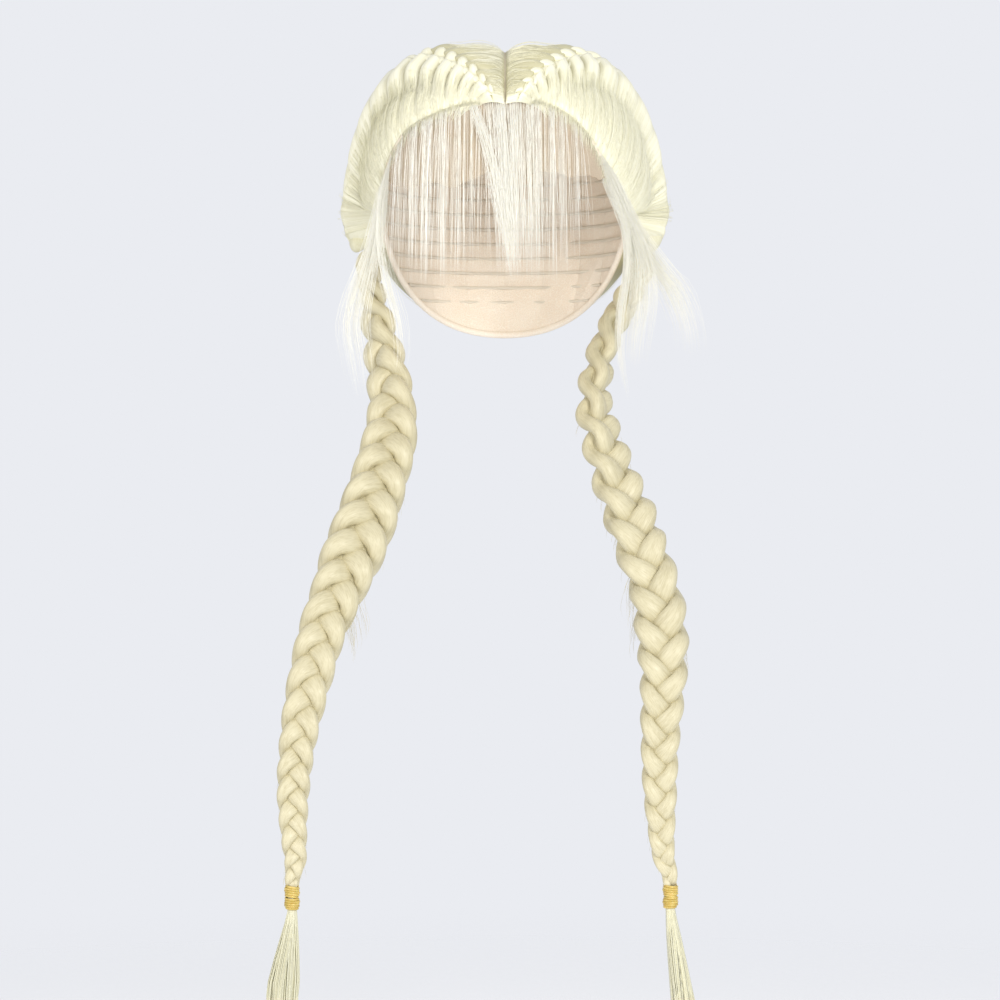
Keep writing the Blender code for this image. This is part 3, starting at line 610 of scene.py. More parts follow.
def scalp_hair_lift(place, across, reach, flutes):
    """Lift of the combed hair, thin at the parting and hairline and rolled up beside the braid, with
    its ribs and flutes; and the painted shade at each spot, dark in the rib creases and over the
    half toward the parting, where the most light falls."""
    smooth, away, up, down, back, hair = roll_lift(place, across, reach)
    beat = beats_at(place) + 0.5 + RIB_BOW * away ** 2 * np.sign(across)
    valley = np.abs(np.sin(math.pi * beat)) ** 0.5 - 1
    fade = (1 - away ** 1.5) * (0.4 + 0.6 * up) * (1 - RIB_BACK_LOSS * back)
    depth = RIB_DEPTH * np.minimum(1, hair / 8) * fade
    # Painted shade: darkest in the creases between the ribs, and laid over the half toward the parting,
    # which takes the most light
    painted_shade = np.clip(-valley * 1.3 - 0.1, 0, 1) ** 1.2 * fade * soft_step(place / FRONT_SPAN)
    painted_shade = np.maximum(painted_shade, INNER_PAINTED_SHADE * (across <= 0) * soft_step(place * 20))
    wander = HAIR_WANDER * np.sin(away * 2.6) * np.sign(across)
    flute = 0
    for heights, (_, flute_depth, lead) in zip(flutes, FLUTES):
        spot = np.clip((travel_at(place) + wander * lead) / FLUTE_STEP, 0, None)
        flute = flute + flute_depth * heights[spot.astype(int)]
    flute = flute * (0.35 + 0.65 * (1 - away ** 4)) * (1 - FLUTE_BACK_LOSS * back)
    lift = smooth + (valley * depth + flute) * down
    ends = soft_step((1 - place) * 30) * soft_step(place * 30 + 0.25)
    return HAIR_UNDER_LIFT + (lift - HAIR_UNDER_LIFT) * ends, painted_shade


def scalp_place(place, across, side):
    """Direction to a spot of the scalp, and the braid's distance from the parting or the edge."""
    middle = braid_heading(place)
    parting, edge = parting_heading(place), edge_heading(place, side)
    outer = column(across > 0)
    end = parting * (1 - outer) + edge * outer
    centre = on_head(middle, 0)
    reach = np.linalg.norm(on_head(end, 0) - centre, axis=-1)
    direction = between(middle, end, np.abs(across))
    lip = FRONT_LIP * (1 - soft_step(place / FRONT_SPAN))
    return between(direction, heading(0, -90), lip), reach


def hair_point(direction, across, lift):
    """Point of the combed hair, which stands clear of the middle at the parting."""
    point = on_head(direction, lift)
    point[..., 0] += PARTING_GAP / 2 * np.maximum(0, -across)
    return point


def make_combed_hair(side_name, finish, flutes):
    side = SIDES[side_name]
    fan = np.linspace(-1, 1, SCALP_COLUMNS)
    place, across = np.meshgrid(np.linspace(0, 1, SCALP_STATIONS), fan, indexing="ij")
    direction, reach = scalp_place(place, across, side)
    lift, painted_shade = scalp_hair_lift(place, across, reach, flutes)
    points = hair_point(direction, across, lift)
    under = hair_point(direction, across, HAIR_UNDER_LIFT)
    lie = vectors(travel_at(place), side * 40, np.abs(across) * reach)
    points, lie, painted_shade = [
        np.concatenate([hem[:, :1], body, hem[:, -1:]], axis=1)
        for hem, body in ((under, points), (lie, lie), (painted_shade, painted_shade))
    ]
    faces = grid_faces(SCALP_STATIONS, SCALP_COLUMNS + 2)
    shell = make_piece(
        f"combed_hair_{side_name}", mirrored(points, side), faces, lie, finish, painted_shade
    )
    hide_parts(f"scalp_hair_{side_name}")


def make_hairs(name, paths, radius, material, rng):
    """Many single hairs in one piece, each a three-sided tube that thins to its ends."""
    hairs, points = paths.shape[:2]
    run = np.linspace(0, 1, points)
    thin = np.minimum(1, 0.25 + 6 * run) * np.minimum(1, 0.15 + 3 * (1 - run))
    radius = radius[:, None] * thin
    outward = np.broadcast_to(unit(paths.mean(axis=1) - HEAD_CENTRE)[:, None], paths.shape)
    rings = sweep(paths, outward + HAIR_TILT, radius, radius, HAIR_CORNERS)
    seed = rng.uniform(0, 400, (hairs, 1, 1))
    lie = np.repeat(vectors(seed, seed * 0.37, column(distance_along(paths))), HAIR_CORNERS, axis=2)
    faces = grid_faces(points, HAIR_CORNERS, closed=True, copies=hairs)
    return make_piece(name, rings, faces, lie, material)


def make_combed_strands(side_name, finish, flutes, rng):
    """Single loose hairs that lie over the combed hair, from its edges up to the crown braid."""
    side = SIDES[side_name]
    hair_place = rng.uniform(0.01, 0.985, SURFACE_HAIRS)[:, None]
    outer = rng.random(SURFACE_HAIRS) < OUTER_SHARE
    run = np.linspace(0, 1, SURFACE_POINTS)[None]
    root = np.where(outer, rng.uniform(0.97, 1.05, SURFACE_HAIRS), -rng.uniform(0.95, 1, SURFACE_HAIRS))
    tip = np.where(outer, SURFACE_TIP, -SURFACE_TIP)
    across = root[:, None] + (tip - root)[:, None] * run
    drift = rng.normal(0, HAIR_DRIFT, SURFACE_HAIRS)[:, None]
    place = np.clip(hair_place + drift * np.sin(run * 2.5), 0, 1)
    direction, reach = scalp_place(place, across, side)
    lift, _ = scalp_hair_lift(place, across, reach, flutes)
    loose = np.where(rng.random(SURFACE_HAIRS) < LOOSE_SHARE, rng.uniform(*LOOSE_RISE, SURFACE_HAIRS), 0)
    stand = (rng.uniform(0.05, 0.3, SURFACE_HAIRS) + loose)[:, None] * np.sin(run * math.pi) ** 0.5
    paths = mirrored(hair_point(direction, across, lift + stand), side)
    radius = rng.uniform(*SURFACE_RADII, SURFACE_HAIRS)
    make_hairs(f"combed_strands_{side_name}", paths, radius, finish, rng)


def make_hairline_roots(side_name, finish, flutes, rng):
    """Single hairs knotted in the lace, scattered before the hairline and combed back into the hair."""
    side = SIDES[side_name]
    run = np.linspace(0, 1, SURFACE_POINTS)[None, ::2]
    spot = rng.uniform(0.0, LACE_HAIRLINE_REACH, ROOT_HAIRS)[:, None]
    _, reach = scalp_place(spot, np.ones_like(spot), side)
    scatter = np.clip(rng.exponential(ROOT_SCATTER, (ROOT_HAIRS, 1)), 0, ROOT_SCATTER_LIMIT)
    start = 1 + scatter / reach
    across = start + (rng.uniform(0.3, 0.8, (ROOT_HAIRS, 1)) - start) * run
    place = np.clip(spot + rng.normal(0, HAIR_DRIFT, (ROOT_HAIRS, 1)) * run, 0.004, 1)
    direction, reach = scalp_place(place, across, side)
    lift, _ = scalp_hair_lift(place, np.minimum(across, 1), reach, flutes)
    rooted = soft_step((1.05 - across) / 0.14)
    rise = lift + rng.uniform(-0.1, 0.25, (ROOT_HAIRS, 1)) - ROOT_LIFT
    paths = mirrored(hair_point(direction, across, ROOT_LIFT + rise * rooted), side)
    radius = rng.uniform(*ROOT_RADII, ROOT_HAIRS)
    make_hairs(f"hairline_roots_{side_name}", paths, radius, finish, rng)


def make_scalp_hair(side_name, finish):
    rng = np.random.default_rng(SCALP_SEED + SIDES[side_name])
    spots = np.arange(0, FLUTE_REACH, FLUTE_STEP)
    flutes = [rough_line(rng, spots, apart) for apart, _, _ in FLUTES]
    make_combed_hair(side_name, finish, flutes)
    make_combed_strands(side_name, finish, flutes, rng)
    make_hairline_roots(side_name, finish, flutes, rng)


def parting_finish():
    finish = Finish("parting_lace")
    lie = finish.attribute("lie", "Vector")
    roots = finish.clamped(finish.noise(finish.scaled(lie, (3, 1, 3)), 1.0), 0.4, 0.6)
    return finish.surface({
        "Base Color": finish.blend(PARTING_SHADOW, PARTING_TINT, roots),
        "Roughness": 0.8 - roots * 0.1,
        "Normal": finish.bump(roots, 0.3, 0.2),
    })


def make_parting():
    """Strip of lace that shows between the two halves of the hair."""
    place = np.linspace(0, 1, PARTING_STATIONS)[:, None]
    width = np.linspace(-1, 1, PARTING_COLUMNS)[None]
    place, width = np.broadcast_arrays(place, width)
    points = on_head(parting_heading(place), PARTING_LIFT * np.cos(width * 0.6))
    points[..., 0] += PARTING_HALF_WIDTH * width
    lie = vectors(points[..., 0], 0, place * PARTING_LENGTH)
    faces = grid_faces(PARTING_STATIONS, PARTING_COLUMNS)
    make_piece("parting_strip", points, faces, lie, parting_finish())


make_parting()
scalp_finish = hair_finish("pale_blond_scalp", SCALP_DEEP, SCALP_LIGHT, 1.8, 0.42, 0.4)
for side_name in SIDES:
    make_scalp_hair(side_name, scalp_finish)

# Crown braids
# Each braid starts as a narrow lock beside the parting and takes up hair from both sides as it goes
# back, so that it stands thick on the cap. Its three strands cross over each other at each lobe.
CROWN_SEED = 41
STRANDS = 3
STRAND_CORNERS = 28
STRAND_EDGE_WIDTH = 0.62
STRAND_SQUARENESS = 0.92
# Flutes round a strand: how many, and their depth as a share of its radius
STRAND_FLUTES = ((5, 0.012), (9, 0.010), (15, 0.007), (23, 0.005))
# Painted shade on braid strands where they pass under the others and on the hidden core; the crossing
# span and least share shape it
UNDER_PAINTED_SHADE = 0.42
CROSSING_SPAN = 0.6
CROSSING_LEAST = 0.4
CROWN_FLOOR = 3.6
CROWN_STRAND_WIDTH = 0.5
CROWN_STRAND_DEPTH = 0.56
CROWN_DEPTH_SWING = 0.46
# Painted shade: a little over the whole crown braid, and more over its end, which faces the lights
# squarely, starting at the given share of its length
CROWN_PAINTED_SHADE = 0.08
CROWN_END_PAINTED_SHADE = 0.4
CROWN_END_START = 0.7
CROWN_STEP = 0.004
END_STATIONS = 9
CROWN_BRAID_STATIONS = 300


def crown_frame(place, side):
    """Centre, outward normal, across direction and onward direction of the crown braid."""
    direction = braid_heading(place)
    ahead = on_head(braid_heading(np.minimum(place + CROWN_STEP, 1)), 0)
    ahead = ahead - on_head(braid_heading(np.maximum(place - CROWN_STEP, 0)), 0)
    normal, _ = head_normal(direction)
    onward = unit(ahead - normal * (ahead * normal).sum(axis=-1, keepdims=True))
    across = np.cross(normal, onward)
    return [mirrored(vector, side) for vector in (on_head(direction, 0), normal, across, onward)]


def strand_mesh(centres, front, half_width, half_depth, rng):
    """Rings round one strand: a soft flat lock with flutes that drift along it."""
    onward = unit(np.gradient(centres, axis=0))
    rise = unit(front - onward * (front * onward).sum(axis=-1, keepdims=True))
    across = np.cross(rise, onward)
    angle = 2 * math.pi * np.arange(STRAND_CORNERS) / STRAND_CORNERS
    along = distance_along(centres)
    flute = 0
    for folds, depth in STRAND_FLUTES:
        slide = rng.uniform(0, 2 * math.pi) + rough_line(rng, along, 38) * 1.6
        flute = flute + depth * np.cos(folds * angle[None] + slide[:, None])
    cosine = np.sign(np.cos(angle)) * np.abs(np.cos(angle)) ** STRAND_SQUARENESS
    sine = np.sign(np.sin(angle)) * np.abs(np.sin(angle)) ** STRAND_SQUARENESS
    wide = column(half_width[:, None] * cosine * (1 + flute)) * across[:, None]
    thick = column(half_depth[:, None] * sine * (1 + flute)) * rise[:, None]
    seed = rng.uniform(0, 300)
    half_width = half_width[:, None]
    lie = vectors(half_width * np.cos(angle) + seed, half_width * np.sin(angle), along[:, None])
    return centres[:, None] + wide + thick, lie


def close_ends(shape, count=4):
    """Shares that draw a strand's first and last sections in to a closed end."""
    share = np.ones(shape)
    run = np.linspace(0.001, 1, count)
    share[:count] = np.sqrt(run * (2 - run))
    share[-count:] = np.sqrt(run * (2 - run))[::-1]
    return share


def braid_piece(name, line, across, front, phase, swing, depth_swing, wide, deep, rng, finish, painted_shade):
    """Three strands that swing across a centre line and over each other, round a hidden core."""
    ends = close_ends(len(line), END_STATIONS)
    parts, painted_shades = [], []
    for strand in range(STRANDS):
        beat = phase + 2 * math.pi * strand / STRANDS
        centres = line + across * column(swing * np.sin(beat))
        centres = centres + front * column(depth_swing * np.sin(2 * beat))
        swell = STRAND_EDGE_WIDTH + (1 - STRAND_EDGE_WIDTH) * np.cos(beat) ** 2
        parts.append(strand_mesh(centres, front, wide * swell * ends, deep * ends, rng))
        # Painted shade where this strand passes under its neighbours
        crossing = soft_step(1 - np.abs(np.sin(2 * beat)) / CROSSING_SPAN)
        crossing = crossing * (CROSSING_LEAST + (1 - CROSSING_LEAST) * np.cos(beat) ** 2)
        painted_shades.append(painted_shade + UNDER_PAINTED_SHADE * crossing)
    # The hidden core, darkened all over with painted shade
    parts.append(strand_mesh(line, front, (swing * 0.75 + wide * 0.2) * ends, deep * 0.8 * ends, rng))
    painted_shades.append(painted_shade + UNDER_PAINTED_SHADE)
    rings, lies = [np.stack(layer) for layer in zip(*parts)]
    faces = grid_faces(len(line), STRAND_CORNERS, closed=True, copies=STRANDS + 1)
    painted_shade = np.repeat(column(np.stack(painted_shades)), STRAND_CORNERS, axis=-1)
    return make_piece(name, rings, faces, lies, finish, painted_shade)


def make_crown_braid(side_name, finish):
    side = SIDES[side_name]
    rng = np.random.default_rng(CROWN_SEED + side)
    travel = np.linspace(0, CROWN_TRAVEL[-1], CROWN_BRAID_STATIONS)
    place = np.interp(travel, CROWN_TRAVEL, CROWN_PLACES)
    row = smooth_row(CROWN, place)
    centre, normal, across, _ = crown_frame(place, side)
    half_rise = (row[:, 1] - CROWN_FLOOR) / 2
    middle = centre + normal * column(CROWN_FLOOR + half_rise)
    wide = row[:, 0] * CROWN_STRAND_WIDTH
    swing = row[:, 0] - wide * STRAND_EDGE_WIDTH
    phase = 2 * math.pi / STRANDS * beats_at(place)
    # Painted shade grows over the braid's last part, which faces the lights
    end = soft_step((place - CROWN_END_START) / (1 - CROWN_END_START))
    braid = braid_piece(
        f"crown_plait_{side_name}", middle, across, -normal * side, phase, swing,
        half_rise * CROWN_DEPTH_SWING, wide, half_rise * CROWN_STRAND_DEPTH, rng, finish,
        CROWN_PAINTED_SHADE + CROWN_END_PAINTED_SHADE * end,
    )
    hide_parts(f"crown_braid_{side_name}")


for side_name in SIDES:
    make_crown_braid(side_name, scalp_finish)

# Hanging plaits
# Behind each ear opening the braid leaves the cap and goes on as a three-strand plait, which comes
# forward and hangs down in front. Its strands are packed close, and stray ends stand off its edges.
PLAIT_SEED = 61
PLAIT_STATIONS = 440
PLAIT_SAMPLES = 1200
PLAIT_LEAD = 12
PLAIT_GAP = 0.7
PLAIT_START_FLOOR = 4.6
# Shares of the plait's half width, and for the strands' width also of a lobe's length
PLAIT_STRAND_WIDTH = (0.24, 0.2)
PLAIT_STRAND_DEPTH = 0.31
PLAIT_DEPTH_SWING = 0.36
# Painted shade: the plaits are the same pale blond fibre as the scalp hair, painted darker and deeper,
# since they face the front lights more squarely than the head
PLAIT_SHADED_DEEP = (0.55, 0.495, 0.32, 1)
PLAIT_SHADED_PALE = (0.665, 0.61, 0.42, 1)
STRAY_SEED = 71
STRAY_POINTS = 8
STRAY_RADII = (0.045, 0.08)
# Groups of stray ends: height, spread of height, side they lean to, length and count
STRAYS = {
    "left": [(-338, 12, 0.9, 26, 34), (-300, 40, 0.5, 14, 16), (-360, 140, 0, 9, 60)],
    "right": [
        (-334, 14, -0.9, 26, 30), (-368, 8, 0.9, 16, 12), (-300, 40, -0.5, 14, 16),
        (-360, 140, 0, 9, 60),
    ],
}
# Height, across and forward of the centre line; width; length of a lobe; and how far the flat side
# is turned away from the face opening's side, in degrees
PLAITS = {
    "left": [
        (-150, -83, 46, 26, 23, 78),
        (-180, -77, 36, 27, 23, 48),
        (-213, -71, 15, 29, 23, 18),
        (-238, -71.5, -4, 34, 22, 3),
        (-263, -77.5, -22, 35.5, 21.5, 0),
        (-288, -85, -36, 38, 21, 0),
        (-309, -93, -46, 38, 21, 0),
        (-330, -101, -56, 33, 20.5, 0),
        (-354, -110, -66, 29.5, 20.5, 0),
        (-377, -115.7, -74, 27.5, 20.5, 0),
        (-401, -120.8, -80, 25, 19, 0),
        (-424, -124.3, -84, 22, 16, 0),
        (-448, -126.4, -86, 20, 15, 0),
        (-472, -126, -88, 16.5, 14, 0),
        (-490, -125, -88, 13.5, 12, 0),
        (-498, -126.4, -88, 10, 11, 0),
        (-503, -126.8, -88, 8.5, 11, 0),
        (-507, -126.9, -88, 7.4, 11, 0),
    ],
    "right": [
        (-150, 76, 47, 27, 23, 90),
        (-180, 62, 37, 28, 23, 95),
        (-213, 56, 15, 29, 23, 110),
        (-238, 60.7, -2, 30, 23, 126),
        (-263, 68.4, -14, 31, 23, 142),
        (-285, 76.5, -26, 33, 24, 158),
        (-306, 83.3, -40, 33, 24, 172),
        (-324, 89.5, -50, 32.5, 24, 180),
        (-342, 93, -60, 33, 23, 180),
        (-359, 94.2, -68, 33, 22, 180),
        (-377, 94.8, -76, 29.5, 20, 180),
        (-398, 93.6, -82, 26.5, 19, 180),
        (-421, 92.3, -86, 23.5, 18, 180),
        (-445, 92.1, -88, 21, 17, 180),
        (-469, 92.8, -90, 17, 15.5, 180),
        (-487, 94.2, -90, 13.5, 14, 180),
        (-496.5, 97.4, -90, 10, 12, 180),
        (-502, 98, -90, 8.5, 11, 180),
        (-506, 98.3, -90, 7.4, 11, 180),
    ],
}


def plait_line(side_name):
    """Points down a plait's centre line, with its across and front directions, phase and rows."""
    side = SIDES[side_name]
    centre, normal, _, onward = crown_frame(np.array([1.0]), side)
    end = CROWN[-1]
    start = (centre + normal * (PLAIT_START_FLOOR + end[1]) / 2 + onward * PLAIT_GAP)[0]
    second = start + onward[0] * PLAIT_LEAD
    table = PLAITS[side_name]
    lead = [(point[2], point[0], point[1], 2 * end[0], table[0][4], 90) for point in (start, second)]
    rows = smooth_row(np.array(lead + table, dtype=float), np.linspace(0, 1, PLAIT_SAMPLES))
    line = rows[:, [1, 2, 0]]
    step = np.linalg.norm(np.diff(line, axis=0, prepend=line[:1]), axis=1)
    phase = 2 * math.pi / STRANDS * np.cumsum(step / rows[:, 4])
    onward = unit(np.gradient(line, axis=0))
    front = unit(np.array([0, -1, 0]) - onward * column(-onward[:, 1]))
    across = np.cross(front, onward)
    turn = np.radians(rows[:, 5])
    turned_across = across * column(np.cos(turn)) + front * column(np.sin(turn))
    turned_front = front * column(np.cos(turn)) - across * column(np.sin(turn))
    picked = np.interp(np.linspace(0, phase[-1], PLAIT_STATIONS), phase, np.arange(PLAIT_SAMPLES))
    picked = np.round(picked).astype(int)
    return [values[picked] for values in (line, turned_across, turned_front, phase, rows)]


def make_plait(side_name, finish):
    rng = np.random.default_rng(PLAIT_SEED + SIDES[side_name])
    line, across, front, phase, rows = plait_line(side_name)
    half = rows[:, 3] / 2
    wide = PLAIT_STRAND_WIDTH[0] * half + PLAIT_STRAND_WIDTH[1] * rows[:, 4]
    swing = half - wide * STRAND_EDGE_WIDTH
    plait = braid_piece(
        f"hanging_plait_{side_name}", line, across, front, phase, swing, half * PLAIT_DEPTH_SWING,
        wide, half * PLAIT_STRAND_DEPTH, rng, finish, np.zeros(len(line)),
    )
    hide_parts(*[f"{side_name}_braid_strand_{number}" for number in (1, 2, 3)])


def make_strays(side_name, finish):
    """Short ends that work out of the plait, most of them at its inner edge."""
    rng = np.random.default_rng(STRAY_SEED + SIDES[side_name])
    line, _, _, _, rows = plait_line(side_name)
    height, edge, reach = [], [], []
    for level, spread, toward, length, count in STRAYS[side_name]:
        height.append(level + rng.uniform(-spread, spread, count))
        edge.append(np.where(rng.random(count) < 0.5 + toward / 2, 1.0, -1.0))
        reach.append(length * rng.uniform(0.4, 1, count))
    height, edge, reach = np.concatenate(height), np.concatenate(edge), np.concatenate(reach)
    start = np.stack([np.interp(-height, -line[:, 2], axis) for axis in line.T], axis=-1)
    half = np.interp(-height, -line[:, 2], rows[:, 3]) / 2
    start[:, 0] += edge * half * 0.8
    start[:, 1] += half * rng.uniform(-0.5, 0.3, len(half))
    run = np.linspace(0, 1, STRAY_POINTS)
    bow = rng.uniform(0.05, 0.28, len(half)) * reach * edge
    curl = rng.normal(0, 0.12, len(half)) * reach
    fall = reach[:, None] * (run + 0.1 * np.sin(run * 3))
    paths = start[:, None] + vectors(bow[:, None] * np.sin(run * 2.2), curl[:, None] * run ** 2, -fall)
    radius = rng.uniform(*STRAY_RADII, len(half))
    make_hairs(f"stray_ends_{side_name}", paths, radius, finish, rng)


# The plait finish is a darker painted-shade copy of the scalp's blond
plait_finish = hair_finish("pale_blond_plait", PLAIT_SHADED_DEEP, PLAIT_SHADED_PALE, 1.9, 0.45, 0.3)
for side_name in SIDES:
    make_plait(side_name, plait_finish)
    make_strays(side_name, plait_finish)

# Elastics
# A golden rubber elastic, a thin soft cord, is wound round the end of each plait in two groups of
# turns. It holds the three strands together where the loose tail begins.
ELASTIC_SEED = 81
ELASTIC_RADIUS = 3.45
ELASTIC_BULGE = 0.6
ELASTIC_WANDER = 0.18
ELASTIC_SLANT = 0.35
ELASTIC_CORD = 0.75
ELASTIC_CORNERS = 10
ELASTIC_TURN_STATIONS = 48
ELASTIC_TOP = -2.2
ELASTIC_GROUPS = (0, 6.9)
ELASTIC_TURNS = 5
ELASTIC_PITCH = 1.35
ELASTIC_GOLD = (0.70, 0.54, 0.17, 1)
ELASTIC_AMBER = (0.52, 0.37, 0.08, 1)


def rubber_finish():
    finish = Finish("golden_rubber")
    lie = finish.attribute("lie", "Vector")
    cloud = finish.noise(lie, 0.35, 3.0)
    share = finish.clamped(cloud, 0.3, 0.7)
    return finish.surface({
        "Base Color": finish.blend(ELASTIC_AMBER, ELASTIC_GOLD, share),
        "Roughness": 0.38 - share * 0.12,
        "Normal": finish.bump(cloud, 0.25, 0.2),
        "Subsurface Weight": 0.15,
        "Subsurface Radius": (0.003, 0.0015, 0.0006),
    })


def make_elastic(side_name, finish):
    rng = np.random.default_rng(ELASTIC_SEED + SIDES[side_name])
    foot = PLAITS[side_name][-1]
    centre = np.array([foot[1], foot[2], foot[0] - ELASTIC_TOP])
    stations = ELASTIC_TURN_STATIONS * ELASTIC_TURNS
    turn = np.linspace(0, 2 * math.pi * ELASTIC_TURNS, stations)
    outward = vectors(np.cos(turn), np.sin(turn), 0)
    bulge = ELASTIC_BULGE * np.sin(np.linspace(0, math.pi, stations))
    cord = ELASTIC_CORD * close_ends(stations)
    rings, lies = [], []
    for drop in ELASTIC_GROUPS:
        fall = -drop - turn / (2 * math.pi) * ELASTIC_PITCH
        fall = fall + ELASTIC_SLANT * np.sin(turn + rng.uniform(0, 6))
        radius = ELASTIC_RADIUS + bulge + ELASTIC_WANDER * np.sin(turn * 1.37 + rng.uniform(0, 6))
        path = centre + outward * column(radius) + column(fall) * (0, 0, 1)
        rings.append(sweep(path, outward, cord, cord * 0.9, ELASTIC_CORNERS))
        lies.append(np.repeat(vectors(turn * 2, fall, turn)[:, None], ELASTIC_CORNERS, axis=1))
    faces = grid_faces(stations, ELASTIC_CORNERS, closed=True, copies=len(rings))
    elastic = make_piece(
        f"wound_elastic_{side_name}", np.stack(rings), faces, np.stack(lies), finish
    )
    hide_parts(f"elastic_{side_name}")


elastic_finish = rubber_finish()
for side_name in SIDES:
    make_elastic(side_name, elastic_finish)

# Tails
# Below the elastic the fibre of the three strands is left loose. It comes out of the elastic in a
# narrow neck, spreads into soft locks and thins out to its tips.
TAIL_SEED = 101
TAIL_HAIRS = 820
TAIL_POINTS = 11
TAIL_RADII = (0.24, 0.42)
TAIL_START = 1
TAIL_NECK = 2.7
# Falls below the start: where the hair leaves the elastic, where it spreads, and where it is wide
ELASTIC_HEIGHT = 14
TAIL_SPREAD = 30
TAIL_WIDE = 56
# Locks of each tail: across and forward where it is widest, its radius there, and its tip
TAILS = {
    "left": np.array([
        (-11.5, 0.5, 3.0, -14, 1, 86),
        (-7.5, -2.5, 3.4, -10, -3, 95),
        (-7.0, 3.0, 3.2, -9, 3, 90),
        (-2.5, -0.5, 3.4, -5, -1, 97),
        (1.5, 1.0, 2.8, -1, 1, 88),
    ]),
    "right": np.array([
        (1.8, 0.5, 2.4, 4.5, 1, 84),
        (3.9, -2.2, 2.9, 8, -3, 94),
        (3.8, 2.6, 2.8, 8, 3, 90),
        (7.0, -0.5, 3.0, 12, -1, 97),
        (9.5, 1.0, 2.4, 16, 1, 86),
    ]),
}
TAIL_DEEP = (0.69, 0.66, 0.46, 1)
TAIL_LIGHT = (0.79, 0.77, 0.59, 1)


def smooth_paths(knots, points):
    """Smooth paths through knots that are given hair by hair."""
    spot = np.linspace(0, 1, points)
    flat = knots.transpose(1, 0, 2).reshape(knots.shape[1], -1)
    return smooth_row(flat, spot).reshape(points, knots.shape[0], 3).transpose(1, 0, 2)


def make_tail(side_name, finish):
    rng = np.random.default_rng(TAIL_SEED + SIDES[side_name])
    foot = PLAITS[side_name][-1]
    start = np.array([foot[1], foot[2], foot[0] + TAIL_START])
    lock = TAILS[side_name][rng.integers(0, len(TAILS[side_name]), TAIL_HAIRS)]
    angle = rng.uniform(0, 2 * math.pi, TAIL_HAIRS)
    out = np.sqrt(rng.random(TAIL_HAIRS))
    spread = np.stack([np.cos(angle), np.sin(angle)], axis=-1) * column(out)
    wide = lock[:, 0:2] + spread * lock[:, 2:3]
    tip = lock[:, 3:5] + spread * lock[:, 2:3] * 0.75
    drop = ELASTIC_HEIGHT + lock[:, 5] * rng.uniform(0.55, 1, TAIL_HAIRS) ** 0.5
    levels = [
        (spread * TAIL_NECK * 0.8, 0),
        (spread * TAIL_NECK, ELASTIC_HEIGHT),
        (spread * TAIL_NECK * 0.8 + wide * 0.35, TAIL_SPREAD),
        (wide, TAIL_WIDE),
        (wide * 0.5 + tip * 0.5, (drop + TAIL_WIDE) / 2),
        (tip, drop),
    ]
    knots = [vectors(flat[:, 0], flat[:, 1], -np.asarray(fall)) for flat, fall in levels]
    paths = start + smooth_paths(np.stack(knots, axis=1), TAIL_POINTS)
    radius = rng.uniform(*TAIL_RADII, TAIL_HAIRS)
    tail = make_hairs(f"loose_tail_{side_name}", paths, radius, finish, rng)
    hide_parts(f"tail_{side_name}")


# The tail's faint glow is painted light, given off as emission
tail_finish = hair_finish("pale_blond_tail", TAIL_DEEP, TAIL_LIGHT, 0.9, 0.4, 0.15, 0.02)
for side_name in SIDES:
    make_tail(side_name, tail_finish)

# Fringe
# Fine near-white fibre is knotted along the front hairline and left loose. It falls straight over
# the face opening, thick in a few locks and sparse between them.
FRINGE_SEED = 121
FRINGE_POINTS = 12
FRINGE_RADII = (0.065, 0.13)
FRINGE_LIFTS = (2.0, 6.0)
FRINGE_ROOT_LIFT = 0.6
FRINGE_STRAY = 2.2
BROW_STEPS = 12
BROW_STEP = 0.45
# Locks: root across, tip across, spread of the roots and of the tips, height of the tips, hairs
FRINGE_LOCKS = (
    (-64, -66, 3, 4, -140, 22),
    (-55, -57, 4, 5, -144, 34),
    (-46, -48, 4, 5, -143, 46),
    (-38, -39, 4, 4, -144, 40),
    (-29, -29, 5, 6, -144, 26),
    (-20, -19, 5, 5, -142, 16),
    (-19, 4.5, 2.5, 3, -140, 80),
    (-8, -1, 4, 4, -141, 44),
    (-2, 4, 4, 3.5, -140, 84),
    (6, 8, 4, 3, -141, 84),
    (14, 16, 4, 3, -142, 60),
    (20, 21, 3, 3, -142, 26),
    (28, 29, 2.5, 2, -144, 26),
    (34, 35, 4, 5, -135, 18),
    (44, 46, 4, 6, -120, 16),
    (0, 0, 40, 42, -130, 60),
)
FRINGE_WHITE = (0.97, 0.96, 0.90, 1)
FRINGE_CREAM = (0.90, 0.88, 0.78, 1)


def brow_point(across, elevation, lift):
    """Point a lift above the cap form at a distance across and an elevation."""
    azimuth = np.zeros(len(across))
    for _ in range(BROW_STEPS):
        point = on_head(heading(azimuth, elevation), lift)
        azimuth = azimuth + (across - point[:, 0]) * BROW_STEP
    return point


